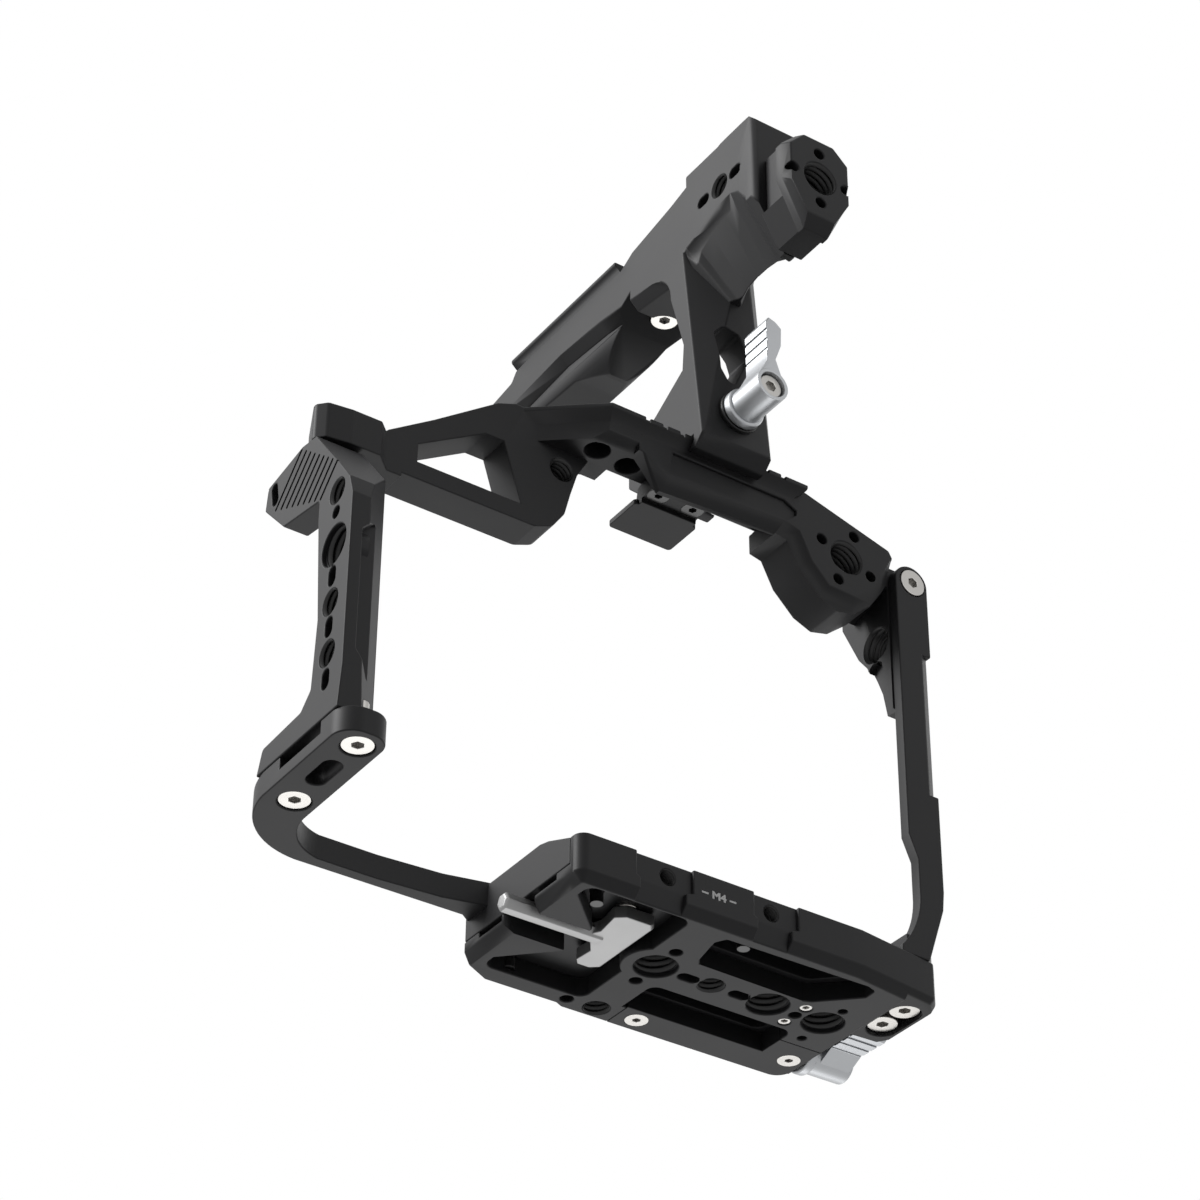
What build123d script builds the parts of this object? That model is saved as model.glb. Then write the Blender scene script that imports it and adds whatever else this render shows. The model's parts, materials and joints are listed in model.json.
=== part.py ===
"""Camera cage with a top handle, for a mirrorless camera body.

Frame of reference, in millimetres: the underside of the base plate is Z = 0, the lens
looks along -Y, and the grip side of the camera is -X.
"""

from build123d import *
import math
import os

os.makedirs("parts", exist_ok=True)

# ---------------------------------------------------------------- driving dimensions
# Base plate and the platform that the camera stands on
BASE_LEFT, BASE_RIGHT = -55.5, 36.4
BASE_FRONT, BASE_REAR = -14.6, 37.2
PLATE_T = 4.8                 # plate behind the front wall
WALL_TOP = 11.4               # front wall, and the lobe under the side bar
WALL_BACK = -10.6
LOBE_RIGHT = 46.3
LOBE_UNDER = 1.0              # the lobe sits this far above the underside
EDGE_CHAMFER = 2.2
PLATFORM_TOP = 15.5
PAD_T = 1.0                   # rubber pad under the camera
PAD_PROUD = 0.5

# Grip-side arm and the plate that stands on it
ARM_LEFT, ARM_INNER = -119.8, -107.7
ARM_BOTTOM, ARM_TOP = 9.8, 16.0
ARM_FRONT = -23.5
GRIP_LEFT, GRIP_INNER = -120.0, -108.0
GRIP_TOP = 97.0

# Side bar
BAR_FRONT, BAR_T = -12.0, 3.1
BAR_INNER, BAR_OUTER = 38.4, 48.2
BAR_TOP_SCREW = (43.6, 117.7)  # X, Z

# Top frame
SLAB_BOTTOM, RAIL_TOP = 124.0, 132.5
SLAB_FRONT, SLAB_REAR = -11.5, 4.7
RAIL_FLARE = 2.5              # the rail's edge overhangs the slab by this much
RAIL_NECK, RAIL_RIM = 128.8, 131.3
RING_X, RING_Z = 23.5, 117.5
LEG_INNER, LEG_OUTER = 38.0, 47.0

# Handle
HANDLE_L, HANDLE_R = -24.3, -3.8
HANDLE_MID = (HANDLE_L + HANDLE_R) / 2
LEG_FRONT_Y = -18.3
NOSE_Y = -40.8                # front face of the handle's nose plate
BLOCK_FRONT, BLOCK_BACK = -54.0, -49.4
CLAMP_X, CLAMP_Z = -13.8, 140.9

# Screw sizes: radii of full thread, head and head height
QUARTER_R = 3.175             # 1/4-20
THREE_EIGHTHS_R = 4.7625      # 3/8-16
LOCATING_R = 7.87             # anti-twist pin holes around a 3/8 hole
PIN_R = 1.5
M4_R, M4_HEAD_R, M4_HEAD_H = 2.0, 3.6, 2.6
M3_R, M3_HEAD_R = 1.5, 2.85
HEX_DEPTH = 1.5
RUNNING = 0.05                # radial clearance of a turning or sliding fit


# The part's origin is the mouth of the central 1/4-20 hole in the underside. Drawing zero
# lies beside it, so every finished piece is moved by this much when it is written.
TO_ORIGIN = Location((3.8, -9.4, 0))


# ---------------------------------------------------------------- shared operations
def slot_at(center, length, width, angle=0):
    """Round-ended slot, by overall length, in the sketch that is open."""
    with Locations(center):
        SlotOverall(length, width, rotation=angle)


def ring_of_pins(center, start):
    """Four locating-pin holes around a 3/8 hole, in the sketch that is open."""
    with Locations(center):
        with PolarLocations(LOCATING_R, 4, start_angle=start):
            Circle(PIN_R)


def cap_screw(base, direction, length, head_r=M4_HEAD_R, head_h=M4_HEAD_H, body_r=M4_R):
    """Socket screw: base is the seat of the head, direction points to the tip."""
    axis = Plane(origin=base, z_dir=direction)
    with BuildPart() as screw:
        with BuildSketch(axis):
            Circle(body_r)
        extrude(amount=length)
        with BuildSketch(axis):
            Circle(head_r)
        extrude(amount=-head_h)
        with BuildSketch(axis.offset(-head_h)):
            RegularPolygon(body_r * 0.72, 6)
        extrude(amount=HEX_DEPTH, mode=Mode.SUBTRACT)
    return screw.part


def flat_screw(face, direction, length, head_r=M3_HEAD_R, body_r=M3_R):
    """Countersunk screw: face is the centre of its flat head."""
    axis = Plane(origin=face, z_dir=direction)
    cone = head_r - body_r
    with BuildPart() as screw:
        with BuildSketch(axis):
            Circle(head_r)
        extrude(amount=cone, taper=44.5)
        with BuildSketch(axis):
            Circle(body_r)
        extrude(amount=length)
        with BuildSketch(axis):
            RegularPolygon(body_r * 0.66, 6)
        extrude(amount=HEX_DEPTH * 0.8, mode=Mode.SUBTRACT)
    return screw.part


# ---------------------------------------------------------------- base plate
HOLE_A, HOLE_B, HOLE_C = (-19.0, 9.4), (12.0, 9.4), (27.7, 9.4)
QUARTER_UNDER = [(-3.8, 9.4), (-19.0, 33.1)]
EIGHTH_END, QUARTER_END = 10.3, 9.3     # blind ends of the two thread sizes, in the platform
HOLE_C_END = 11.3                       # the right-hand hole goes 1 mm deeper than its neighbours
UNDER_SLOTS = [(-9.9, 9.6), (4.2, 9.6)]
FRONT_M4 = [(-31.8, 7.9), (-3.8, 7.9)]
LOBE_SCREWS = [(41.8, -3.1), (41.7, 5.0)]
STRIP_SCREWS = [(-8.15, 32.75), (32.5, 28.9)]
SET_SCREWS = [(20.4, 6.1), (20.2, 14.1)]
PLATFORM_SCREWS = [(-44.0, -4.0), (-6.0, -6.0), (31.0, -6.0), (-44.0, 31.5)]
RECESS = (-51.0, -24.2, -11.7, 30.9)   # tool recess: X from, X to, Y from, Y to
CHANNEL = (4.3, 14.8)                  # Y of the slot that the tool's shank leaves by
STRIP_FRONT_L, STRIP_FRONT_R, STRIP_STEP = 28.5, 21.6, 24.5
STRIP_LEFT = -13.4
STUD_Y, STUD_Z = 32.5, 5.7             # cable clamp's screw, which runs along X

# the wall's chamfer is steeper between the pads
with BuildPart() as wall_relief:
    for x_from, x_to in ((-40.5, -25.5), (-9.0, 3.2)):
        with BuildSketch(Plane.XZ.offset(-BASE_FRONT)):
            Polygon((x_from, 5.4), (x_from, WALL_TOP + 1), (x_to, WALL_TOP + 1),
                    (x_to, 5.4), (x_to - 3.0, 4.4), (x_from + 2.0, 4.4), align=None)
        extrude(amount=-1.0)
        with BuildSketch(Plane.YZ.offset(x_from + 1.0)):
            Polygon((BASE_FRONT, 2.2), (BASE_FRONT, 4.9), (-13.6, 4.9), (-12.4, 0), align=None)
        extrude(amount=x_to - x_from - 3.0)

with BuildPart() as base_plate:
    with BuildSketch(Plane.XY):
        Polygon((BASE_LEFT, BASE_FRONT), (21.3, BASE_FRONT), (44.0, -11.4), (LOBE_RIGHT, -8.8),
                (LOBE_RIGHT, 8.6), (44.5, 11.4), (BASE_RIGHT, 11.8), (BASE_RIGHT, BASE_REAR),
                (-26.0, BASE_REAR), (-28.0, 36.2), (-47.2, 36.2), (BASE_LEFT, 31.7), align=None)
    extrude(amount=PLATE_T)
    with BuildSketch(Plane.XY.offset(PLATE_T)):
        Polygon((BASE_LEFT, BASE_FRONT), (21.3, BASE_FRONT), (44.0, -11.4), (LOBE_RIGHT, -8.8),
                (LOBE_RIGHT, 8.6), (44.5, 11.4), (BASE_RIGHT, 11.8), (BASE_RIGHT, WALL_BACK),
                (BASE_LEFT, WALL_BACK), align=None)
    extrude(amount=WALL_TOP - PLATE_T)
    fillet(base_plate.edges().filter_by(Axis.Z).sort_by_distance((BASE_LEFT, BASE_FRONT, 6))[0], 2.8)
    fillet(base_plate.edges().filter_by(Axis.Z).sort_by_distance((BASE_RIGHT, BASE_REAR, 2))[0], 4.0)
    front_edges = base_plate.edges().group_by(Axis.Z)[0].filter_by(
        lambda e: e.center().Y < -9.0)
    chamfer(front_edges, EDGE_CHAMFER)
    add(wall_relief.part, mode=Mode.SUBTRACT)
    # the lobe's underside is a step higher than the plate's
    with BuildSketch(Plane.XY):
        with Locations((BASE_RIGHT + 6, 0)):
            Rectangle(12, 30)
    extrude(amount=LOBE_UNDER, mode=Mode.SUBTRACT)
    # tool recess: a rectangle, less the wall around hole A and two tongues, plus a channel
    with BuildSketch(Plane.XY) as recess:
        with Locations(((RECESS[0] + RECESS[1]) / 2, (RECESS[2] + RECESS[3]) / 2)):
            RectangleRounded(RECESS[1] - RECESS[0], RECESS[3] - RECESS[2], 2.5)
        with Locations(HOLE_A):
            Circle(8.1, mode=Mode.SUBTRACT)
        Polygon((-52.0, -8.3), (-40.0, 3.7), (-40.0, CHANNEL[0]), (-52.0, CHANNEL[0]),
                align=None, mode=Mode.SUBTRACT)
        Polygon((-52.0, CHANNEL[1]), (-40.0, CHANNEL[1]), (-40.0, 15.3), (-52.0, 27.5),
                align=None, mode=Mode.SUBTRACT)
        Polygon((BASE_LEFT - 1, CHANNEL[0] - 1.6), (BASE_LEFT + 2.0, CHANNEL[0]), (-39.0, CHANNEL[0]),
                (-39.0, CHANNEL[1]), (BASE_LEFT + 2.0, CHANNEL[1]), (BASE_LEFT - 1, CHANNEL[1] + 1.6),
                align=None)
    extrude(amount=PLATE_T, mode=Mode.SUBTRACT)
    # slots behind the tongues
    with BuildSketch(Plane.XY.offset(3.4)):
        for y_from, y_to in ((-5.3, 5.0), (16.6, 25.7)):
            with Locations((BASE_LEFT + 2, (y_from + y_to) / 2)):
                Rectangle(12, y_to - y_from)
    extrude(amount=PLATE_T - 3.4, mode=Mode.SUBTRACT)
    # lightening pockets
    with BuildSketch(Plane.XY) as front_pocket:
        Polygon((-12.8, 1.2), (-14.5, -7.0), (-13.1, -9.6), (25.6, -10.3), (28.2, -9.4), (28.3, -5.9),
                (19.5, 2.6), (17.5, 3.4), (-11.6, 2.9), align=None)
        fillet(front_pocket.vertices(), 0.9)
    extrude(amount=PLATE_T, mode=Mode.SUBTRACT)
    with BuildSketch(Plane.XY) as rear_pocket:
        Polygon((-14.5, 17.0), (STRIP_STEP, 17.0), (STRIP_STEP, STRIP_FRONT_L + 0.5),
                (STRIP_LEFT - 1.1, STRIP_FRONT_L + 0.5), align=None)
        fillet(rear_pocket.vertices().group_by(Axis.Y)[0], 2.5)
    extrude(amount=PLATE_T, mode=Mode.SUBTRACT)
    # seat of the rear strip
    with BuildSketch(Plane.XY):
        Polygon((STRIP_LEFT, STRIP_FRONT_L), (STRIP_STEP, STRIP_FRONT_L), (STRIP_STEP, STRIP_FRONT_R),
                (BASE_RIGHT + 1, STRIP_FRONT_R), (BASE_RIGHT + 1, BASE_REAR + 1),
                (STRIP_LEFT, BASE_REAR + 1), align=None)
    extrude(amount=PLATE_T, mode=Mode.SUBTRACT)
    # threaded and locating holes in the underside
    with BuildSketch(Plane.XY):
        with Locations(HOLE_A, HOLE_B, HOLE_C):
            Circle(THREE_EIGHTHS_R)
        with Locations(*QUARTER_UNDER):
            Circle(QUARTER_R)
        for place in UNDER_SLOTS:
            slot_at(place, 5.5, 3.0)
        with Locations((HOLE_A[0], HOLE_A[1] - LOCATING_R), (HOLE_A[0], HOLE_A[1] + LOCATING_R), (20.2, 10.0)):
            Circle(PIN_R)
        with Locations((28.1, 2.4), (28.25, 18.1)):
            Circle(1.1)
        with Locations((-27.0, 33.3)):
            Circle(1.6)
        with Locations(*SET_SCREWS):
            Circle(PIN_R)
    extrude(amount=PLATE_T, mode=Mode.SUBTRACT)
    with BuildSketch(Plane.XY):
        with Locations(HOLE_A, HOLE_B, HOLE_C):
            Circle(5.1)
    extrude(amount=1.2, mode=Mode.SUBTRACT)
    # side bar's screws, in a round-ended counterbore
    with BuildSketch(Plane.XY.offset(LOBE_UNDER)):
        slot_at((41.75, 0.95), 16.0, 7.8, angle=90)
    extrude(amount=3.6, mode=Mode.SUBTRACT)
    with BuildSketch(Plane.XY.offset(LOBE_UNDER)):
        with Locations(*LOBE_SCREWS):
            Circle(M4_R)
    extrude(amount=WALL_TOP, mode=Mode.SUBTRACT)
    # threaded holes in the front wall, and screws that come down from the platform
    with BuildSketch(Plane.XZ.offset(-BASE_FRONT)):
        with Locations(*FRONT_M4):
            Circle(M4_R)
    extrude(amount=-(WALL_BACK - BASE_FRONT), mode=Mode.SUBTRACT)
    with BuildSketch(Plane.XY.offset(1.2)):
        with Locations(*PLATFORM_SCREWS):
            Circle(M3_R)
    extrude(amount=PLATE_T, mode=Mode.SUBTRACT)
base_plate.part.label = "base_plate"
export_step(base_plate.part.moved(TO_ORIGIN), "parts/base_plate.step")

with BuildPart() as rear_strip:
    with BuildSketch(Plane.XY):
        Polygon((STRIP_LEFT, STRIP_FRONT_L), (STRIP_STEP, STRIP_FRONT_L), (STRIP_STEP, STRIP_FRONT_R),
                (BASE_RIGHT, STRIP_FRONT_R), (BASE_RIGHT, BASE_REAR), (STRIP_LEFT, BASE_REAR), align=None)
    extrude(amount=PLATE_T)
    fillet(rear_strip.edges().filter_by(Axis.Z).sort_by_distance((BASE_RIGHT, BASE_REAR, 2))[0], 4.0)
    with BuildSketch(Plane.XY):
        with Locations(*STRIP_SCREWS):
            Circle(M3_HEAD_R)
    extrude(amount=M3_HEAD_R - M3_R, taper=44.5, mode=Mode.SUBTRACT)
    with BuildSketch(Plane.XY):
        with Locations(*STRIP_SCREWS):
            Circle(M3_R)
    extrude(amount=PLATE_T, mode=Mode.SUBTRACT)
    with BuildSketch(Plane.YZ.offset(BASE_RIGHT)):
        with Locations((STUD_Y, STUD_Z)):
            Circle(2.0)
    extrude(amount=-14.0, mode=Mode.SUBTRACT)
rear_strip.part.label = "rear_strip"
export_step(rear_strip.part.moved(TO_ORIGIN), "parts/rear_strip.step")

rear_strip_screws = Compound(
    [flat_screw((x, y, 0), (0, 0, 1), 10.0) for x, y in STRIP_SCREWS])
rear_strip_screws.label = "rear_strip_screws"
export_step(rear_strip_screws.moved(TO_ORIGIN), "parts/rear_strip_screws.step")

with BuildPart() as base_set_screws:
    with BuildSketch(Plane.XY.offset(0.3)):
        with Locations(*SET_SCREWS):
            Circle(PIN_R)
    extrude(amount=4.0)
    with BuildSketch(Plane.XY.offset(0.3)):
        with Locations(*SET_SCREWS):
            RegularPolygon(0.8, 6)
    extrude(amount=1.2, mode=Mode.SUBTRACT)
base_set_screws.part.label = "base_set_screws"
export_step(base_set_screws.part.moved(TO_ORIGIN), "parts/base_set_screws.step")

# ---------------------------------------------------------------- cage frame
ARM_SCREWS = [(-113.0, -17.7), (-113.0, 8.5)]
CAMERA_SCREW = (-32.5, 9.4)
PAD_BOX = (-50.0, 32.0, 0.5, 31.0)
MAGNETS = [(-34.5, -1.5), (-29.6, 17.6)]
MAGNET_R, MAGNET_T, MAGNET_Z = 2.5, 2.4, 4.2

with BuildPart() as cage_frame:
    # platform, with a front that slopes down to the base plate's wall
    with BuildSketch(Plane.XY.offset(PLATE_T)):
        Polygon((BASE_LEFT, WALL_BACK), (BASE_RIGHT, WALL_BACK), (BASE_RIGHT, 36.2),
                (-47.2, 36.2), (BASE_LEFT, 31.7), align=None)
    extrude(amount=PLATFORM_TOP - PLATE_T)
    with BuildSketch(Plane.YZ.offset(BASE_LEFT - 1)):
        Polygon((WALL_BACK - 1, WALL_TOP - 0.5), (WALL_BACK, WALL_TOP), (-2.0, 14.7), (1.5, PLATFORM_TOP),
                (1.5, PLATFORM_TOP + 2), (WALL_BACK - 1, PLATFORM_TOP + 2), align=None)
    extrude(amount=BASE_RIGHT - BASE_LEFT + 2, mode=Mode.SUBTRACT)
    # arm that runs round the rear of the camera's battery door to the grip side
    with BuildSketch(Plane.XY.offset(ARM_BOTTOM)) as arm:
        with BuildLine():
            Polyline((-54.5, 22.2), (-66.0, 24.9), (-82.0, 26.2), (-97.0, 26.2))
            ThreePointArc((-97.0, 26.2), (-104.6, 21.6), (ARM_INNER, 12.5))
            Line((ARM_INNER, 12.5), (ARM_INNER, -19.0))
            ThreePointArc((ARM_INNER, -19.0), (-109.2, -22.2), (-112.5, ARM_FRONT))
            Line((-112.5, ARM_FRONT), (-114.5, ARM_FRONT))
            ThreePointArc((-114.5, ARM_FRONT), (-118.3, -21.9), (ARM_LEFT, -18.0))
            Line((ARM_LEFT, -18.0), (ARM_LEFT, 10.5))
            ThreePointArc((ARM_LEFT, 10.5), (-113.6, 24.0), (-101.0, 29.6))
            Polyline((-101.0, 29.6), (-58.0, 29.2), (-54.5, 31.7), (-54.5, 22.2))
        make_face()
    extrude(amount=ARM_TOP - ARM_BOTTOM)
    # bevel along the inside of the rear run's lower edge
    with BuildSketch(Plane.XY.offset(ARM_BOTTOM)):
        Polygon((-101.0, 12.0), (-101.0, 26.6), (-97.0, 27.4), (-82.0, 27.4), (-66.0, 26.1),
                (BASE_LEFT, 23.6), (BASE_LEFT, 12.0), align=None)
    extrude(amount=1.2, taper=45, mode=Mode.SUBTRACT)
    # strap slot, open to the outside
    with BuildSketch(Plane.XY.offset(ARM_BOTTOM)):
        slot_at((-113.6, -5.0), 11.0, 4.5, angle=90)
    extrude(amount=ARM_TOP - ARM_BOTTOM, mode=Mode.SUBTRACT)
    with BuildSketch(Plane.XY.offset(13.0)):
        with Locations((ARM_LEFT, -5.0)):
            RectangleRounded(16.0, 17.0, 2.0)
    extrude(amount=ARM_TOP - 13.0, mode=Mode.SUBTRACT)
    # counterbored screw holes of the grip plate
    with BuildSketch(Plane.XY.offset(ARM_BOTTOM)):
        with Locations(*ARM_SCREWS):
            Circle(M4_R)
    extrude(amount=ARM_TOP - ARM_BOTTOM, mode=Mode.SUBTRACT)
    with BuildSketch(Plane.XY.offset(ARM_BOTTOM)):
        with Locations(*ARM_SCREWS):
            Circle(M4_HEAD_R + 0.2)
    extrude(amount=3.0, mode=Mode.SUBTRACT)
    # pad's bed
    with BuildSketch(Plane.XY.offset(PLATFORM_TOP)):
        with Locations(((PAD_BOX[0] + PAD_BOX[1]) / 2, (PAD_BOX[2] + PAD_BOX[3]) / 2)):
            RectangleRounded(PAD_BOX[1] - PAD_BOX[0], PAD_BOX[3] - PAD_BOX[2], 3.0)
    extrude(amount=-(PAD_T - PAD_PROUD), mode=Mode.SUBTRACT)
    # underside: floor of the tool recess, and blind lightening pockets
    with BuildSketch(Plane.XY.offset(PLATE_T)):
        with Locations((5.0, 23.0)):
            RectangleRounded(36.0, 9.0, 2.0)
        Polygon((-11.3, 0.8), (-12.5, -6.5), (25.0, -8.3), (25.6, -5.9), (18.5, 1.2), (17.0, 1.8),
                (-11.0, 1.3), align=None)
    extrude(amount=4.5, mode=Mode.SUBTRACT)
    with BuildSketch(Plane.XY.offset(MAGNET_Z)):
        with Locations(*MAGNETS):
            Circle(MAGNET_R)
    extrude(amount=MAGNET_T, mode=Mode.SUBTRACT)
    # threads that start in the base plate end blind in the platform
    with BuildSketch(Plane.XY.offset(PLATE_T)):
        with Locations(HOLE_A, HOLE_B):
            Circle(THREE_EIGHTHS_R)
        with Locations(*STRIP_SCREWS):
            Circle(M3_R)
    extrude(amount=EIGHTH_END - PLATE_T, mode=Mode.SUBTRACT)
    with BuildSketch(Plane.XY.offset(PLATE_T)):
        with Locations(HOLE_C):
            Circle(THREE_EIGHTHS_R)
    extrude(amount=HOLE_C_END - PLATE_T, mode=Mode.SUBTRACT)
    with BuildSketch(Plane.XY.offset(PLATE_T)):
        with Locations(*QUARTER_UNDER):
            Circle(QUARTER_R)
    extrude(amount=QUARTER_END - PLATE_T, mode=Mode.SUBTRACT)
    with BuildSketch(Plane.XZ.offset(-WALL_BACK)):
        with Locations(*FRONT_M4):
            Circle(M4_R)
    extrude(amount=-5.0, mode=Mode.SUBTRACT)
    # camera screw: a clearance bore with a seat for its captive head
    with BuildSketch(Plane.XY.offset(PLATE_T)):
        with Locations(CAMERA_SCREW):
            Circle(QUARTER_R + 0.2)
    extrude(amount=PLATFORM_TOP, mode=Mode.SUBTRACT)
    with BuildSketch(Plane.XY.offset(PLATE_T)):
        with Locations(CAMERA_SCREW):
            Circle(6.0)
    extrude(amount=4.2, mode=Mode.SUBTRACT)
    # platform screws, countersunk from above
    with BuildSketch(Plane.XY.offset(PLATE_T)):
        with Locations(*PLATFORM_SCREWS):
            Circle(M3_R)
    extrude(amount=PLATFORM_TOP, mode=Mode.SUBTRACT)
    with BuildSketch(Plane.XY.offset(8.0)):
        with Locations(*PLATFORM_SCREWS):
            Circle(3.0)
    extrude(amount=PLATFORM_TOP, mode=Mode.SUBTRACT)
    # cable clamp's tapped hole in the right end
    with BuildSketch(Plane.YZ.offset(BASE_RIGHT)):
        with Locations((STUD_Y, STUD_Z)):
            Circle(2.0)
    extrude(amount=-14.0, mode=Mode.SUBTRACT)
cage_frame.part.label = "cage_frame"
export_step(cage_frame.part.moved(TO_ORIGIN), "parts/cage_frame.step")

platform_screws = Compound(
    [flat_screw((x, y, 9.8), (0, 0, -1), 8.2, head_r=2.8) for x, y in PLATFORM_SCREWS])
platform_screws.label = "platform_screws"
export_step(platform_screws.moved(TO_ORIGIN), "parts/platform_screws.step")

with BuildPart() as platform_pad:
    with BuildSketch(Plane.XY.offset(PLATFORM_TOP - PAD_T + PAD_PROUD)):
        with Locations(((PAD_BOX[0] + PAD_BOX[1]) / 2, (PAD_BOX[2] + PAD_BOX[3]) / 2)):
            RectangleRounded(PAD_BOX[1] - PAD_BOX[0], PAD_BOX[3] - PAD_BOX[2], 3.0)
        with Locations(CAMERA_SCREW):
            Circle(5.0, mode=Mode.SUBTRACT)
        with Locations(PLATFORM_SCREWS[3]):
            Circle(4.0, mode=Mode.SUBTRACT)
    extrude(amount=PAD_T)
platform_pad.part.label = "platform_pad"
export_step(platform_pad.part.moved(TO_ORIGIN), "parts/platform_pad.step")

CAMERA_SCREW_TIP = PLATFORM_TOP + PAD_PROUD + 4.5
CAMERA_HEAD_Z = 6.0
with BuildPart() as camera_screw:
    with BuildSketch(Plane.XY.offset(CAMERA_HEAD_Z)):
        with Locations(CAMERA_SCREW):
            Circle(5.7)
    extrude(amount=8.8 - CAMERA_HEAD_Z)
    # slim neck below a short thread
    with BuildSketch(Plane.XY.offset(8.8)):
        with Locations(CAMERA_SCREW):
            Circle(2.5)
    extrude(amount=CAMERA_SCREW_TIP - 8.8)
    with BuildSketch(Plane.XY.offset(CAMERA_SCREW_TIP)):
        with Locations(CAMERA_SCREW):
            Circle(QUARTER_R)
    extrude(amount=-4.2)
    with BuildSketch(Plane.XY.offset(CAMERA_HEAD_Z)):
        with Locations(CAMERA_SCREW):
            RegularPolygon(2.9, 6)
    extrude(amount=2.0, mode=Mode.SUBTRACT)
camera_screw.part.label = "camera_screw"
export_step(camera_screw.part.moved(TO_ORIGIN), "parts/camera_screw.step")

with BuildPart() as screw_retainer:
    with BuildSketch(Plane.XY.offset(PLATE_T + 0.1)):
        with Locations(CAMERA_SCREW):
            Circle(6.0)
            Circle(4.4, mode=Mode.SUBTRACT)
    extrude(amount=0.8)
screw_retainer.part.label = "screw_retainer"
export_step(screw_retainer.part.moved(TO_ORIGIN), "parts/screw_retainer.step")

# ---------------------------------------------------------------- stowed hex key
KEY_Y, KEY_Z = 7.9, 2.35
KEY_AF = 4.0
KEY_TIP, KEY_HEAD = -61.0, -35.0
HEAD_T = 3.0

with BuildPart() as hex_key:
    with BuildSketch(Plane.YZ.offset(KEY_TIP)):
        with Locations((KEY_Y, KEY_Z)):
            RegularPolygon(KEY_AF / math.sqrt(3), 6)
    extrude(amount=KEY_HEAD - KEY_TIP)
    chamfer(hex_key.faces().sort_by(Axis.X)[0].edges(), 0.5)
    # T-shaped grip with a wide end and a narrow, screwdriver-ended one
    with BuildSketch(Plane.XY.offset(KEY_Z - HEAD_T / 2)) as grip_outline:
        with BuildLine():
            Polyline((-38.0, KEY_Y - KEY_AF / 2), (-37.2, 4.4), (-38.2, -2.2), (-36.0, -4.0), (-28.9, -4.0),
                     (-27.8, -2.6), (-27.8, 18.2), (-29.4, 19.5), (-33.4, 19.5), (-34.6, 18.0),
                     (-34.2, 13.0), (-36.4, KEY_Y + KEY_AF / 2), (-39.4, KEY_Y + KEY_AF / 2), close=True)
        make_face()
    extrude(amount=HEAD_T)
    chamfer(hex_key.edges().filter_by_position(Axis.Z, KEY_Z - HEAD_T / 2 - 0.01, KEY_Z - HEAD_T / 2 + 0.01)
            .filter_by(lambda e: e.center().X > -31.0), 0.6)
hex_key.part.label = "hex_key"
export_step(hex_key.part.moved(TO_ORIGIN), "parts/hex_key.step")

with BuildPart() as key_magnets:
    with BuildSketch(Plane.XY.offset(MAGNET_Z)):
        with Locations(*MAGNETS):
            Circle(MAGNET_R)
    extrude(amount=MAGNET_T)
key_magnets.part.label = "key_magnets"
export_step(key_magnets.part.moved(TO_ORIGIN), "parts/key_magnets.step")

# ---------------------------------------------------------------- side bar
FOOT_REAR = 8.8

with BuildPart() as side_bar:
    with BuildSketch(Plane.XZ.offset(-BAR_FRONT)) as bar_outline:
        with BuildLine():
            Polyline((BAR_INNER, 115.0), (BAR_INNER, 44.0), (40.9, 38.0), (40.9, 29.0))
            ThreePointArc((40.9, 29.0), (39.4, 20.5), (34.9, 13.4))
            Polyline((34.9, 13.4), (34.9, WALL_TOP), (42.9, WALL_TOP), (47.7, 26.0), (BAR_OUTER, 31.0),
                     (BAR_OUTER, 117.5))
            ThreePointArc((BAR_OUTER, 117.5), (43.4, 122.4), (BAR_INNER, 117.5))
            Line((BAR_INNER, 117.5), (BAR_INNER, 115.0))
        make_face()
    extrude(amount=-BAR_T)
    # foot that stands on the lobe
    with BuildSketch(Plane.XY.offset(WALL_TOP)):
        Polygon((36.6, BAR_FRONT + 0.6), (42.9, BAR_FRONT + 0.6), (46.0, -8.6), (46.0, FOOT_REAR - 1.5),
                (44.4, FOOT_REAR), (38.6, FOOT_REAR), (36.6, FOOT_REAR - 2.0), align=None)
    extrude(amount=5.6)
    with BuildSketch(Plane.YZ.offset(50.0)):
        Polygon((-8.0, 17.5), (-8.9, 28.0), (-8.9, 40.0), (12.0, 40.0), (12.0, 14.4), align=None)
    extrude(amount=-20.0, mode=Mode.SUBTRACT)
    # the flare at its foot ends where the platform begins
    with BuildSketch(Plane.XY.offset(WALL_TOP)):
        with Locations((BASE_RIGHT - 4.9, WALL_BACK + 4.9)):
            Rectangle(10.0, 10.0)
    extrude(amount=6.0, mode=Mode.SUBTRACT)
    # facets along the outer front edge
    with BuildSketch(Plane.XY.offset(57.0)):
        Polygon((BAR_OUTER + 0.1, BAR_FRONT - 0.1), (BAR_OUTER - 3.0, BAR_FRONT - 0.1),
                (BAR_OUTER + 0.1, BAR_FRONT + 1.9), align=None)
    extrude(amount=40.0, mode=Mode.SUBTRACT)
    # top screw hole, foot screw holes
    with BuildSketch(Plane.XZ.offset(-BAR_FRONT)):
        with Locations(BAR_TOP_SCREW):
            Circle(M4_R)
    extrude(amount=-BAR_T, mode=Mode.SUBTRACT)
    with BuildSketch(Plane.XZ.offset(-BAR_FRONT)):
        with Locations(BAR_TOP_SCREW):
            Circle(M4_HEAD_R + 0.15)
    extrude(amount=-2.0, mode=Mode.SUBTRACT)
    with BuildSketch(Plane.XY.offset(WALL_TOP)):
        with Locations(*LOBE_SCREWS):
            Circle(M4_R)
    extrude(amount=5.0, mode=Mode.SUBTRACT)
side_bar.part.label = "side_bar"
export_step(side_bar.part.moved(TO_ORIGIN), "parts/side_bar.step")

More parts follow.
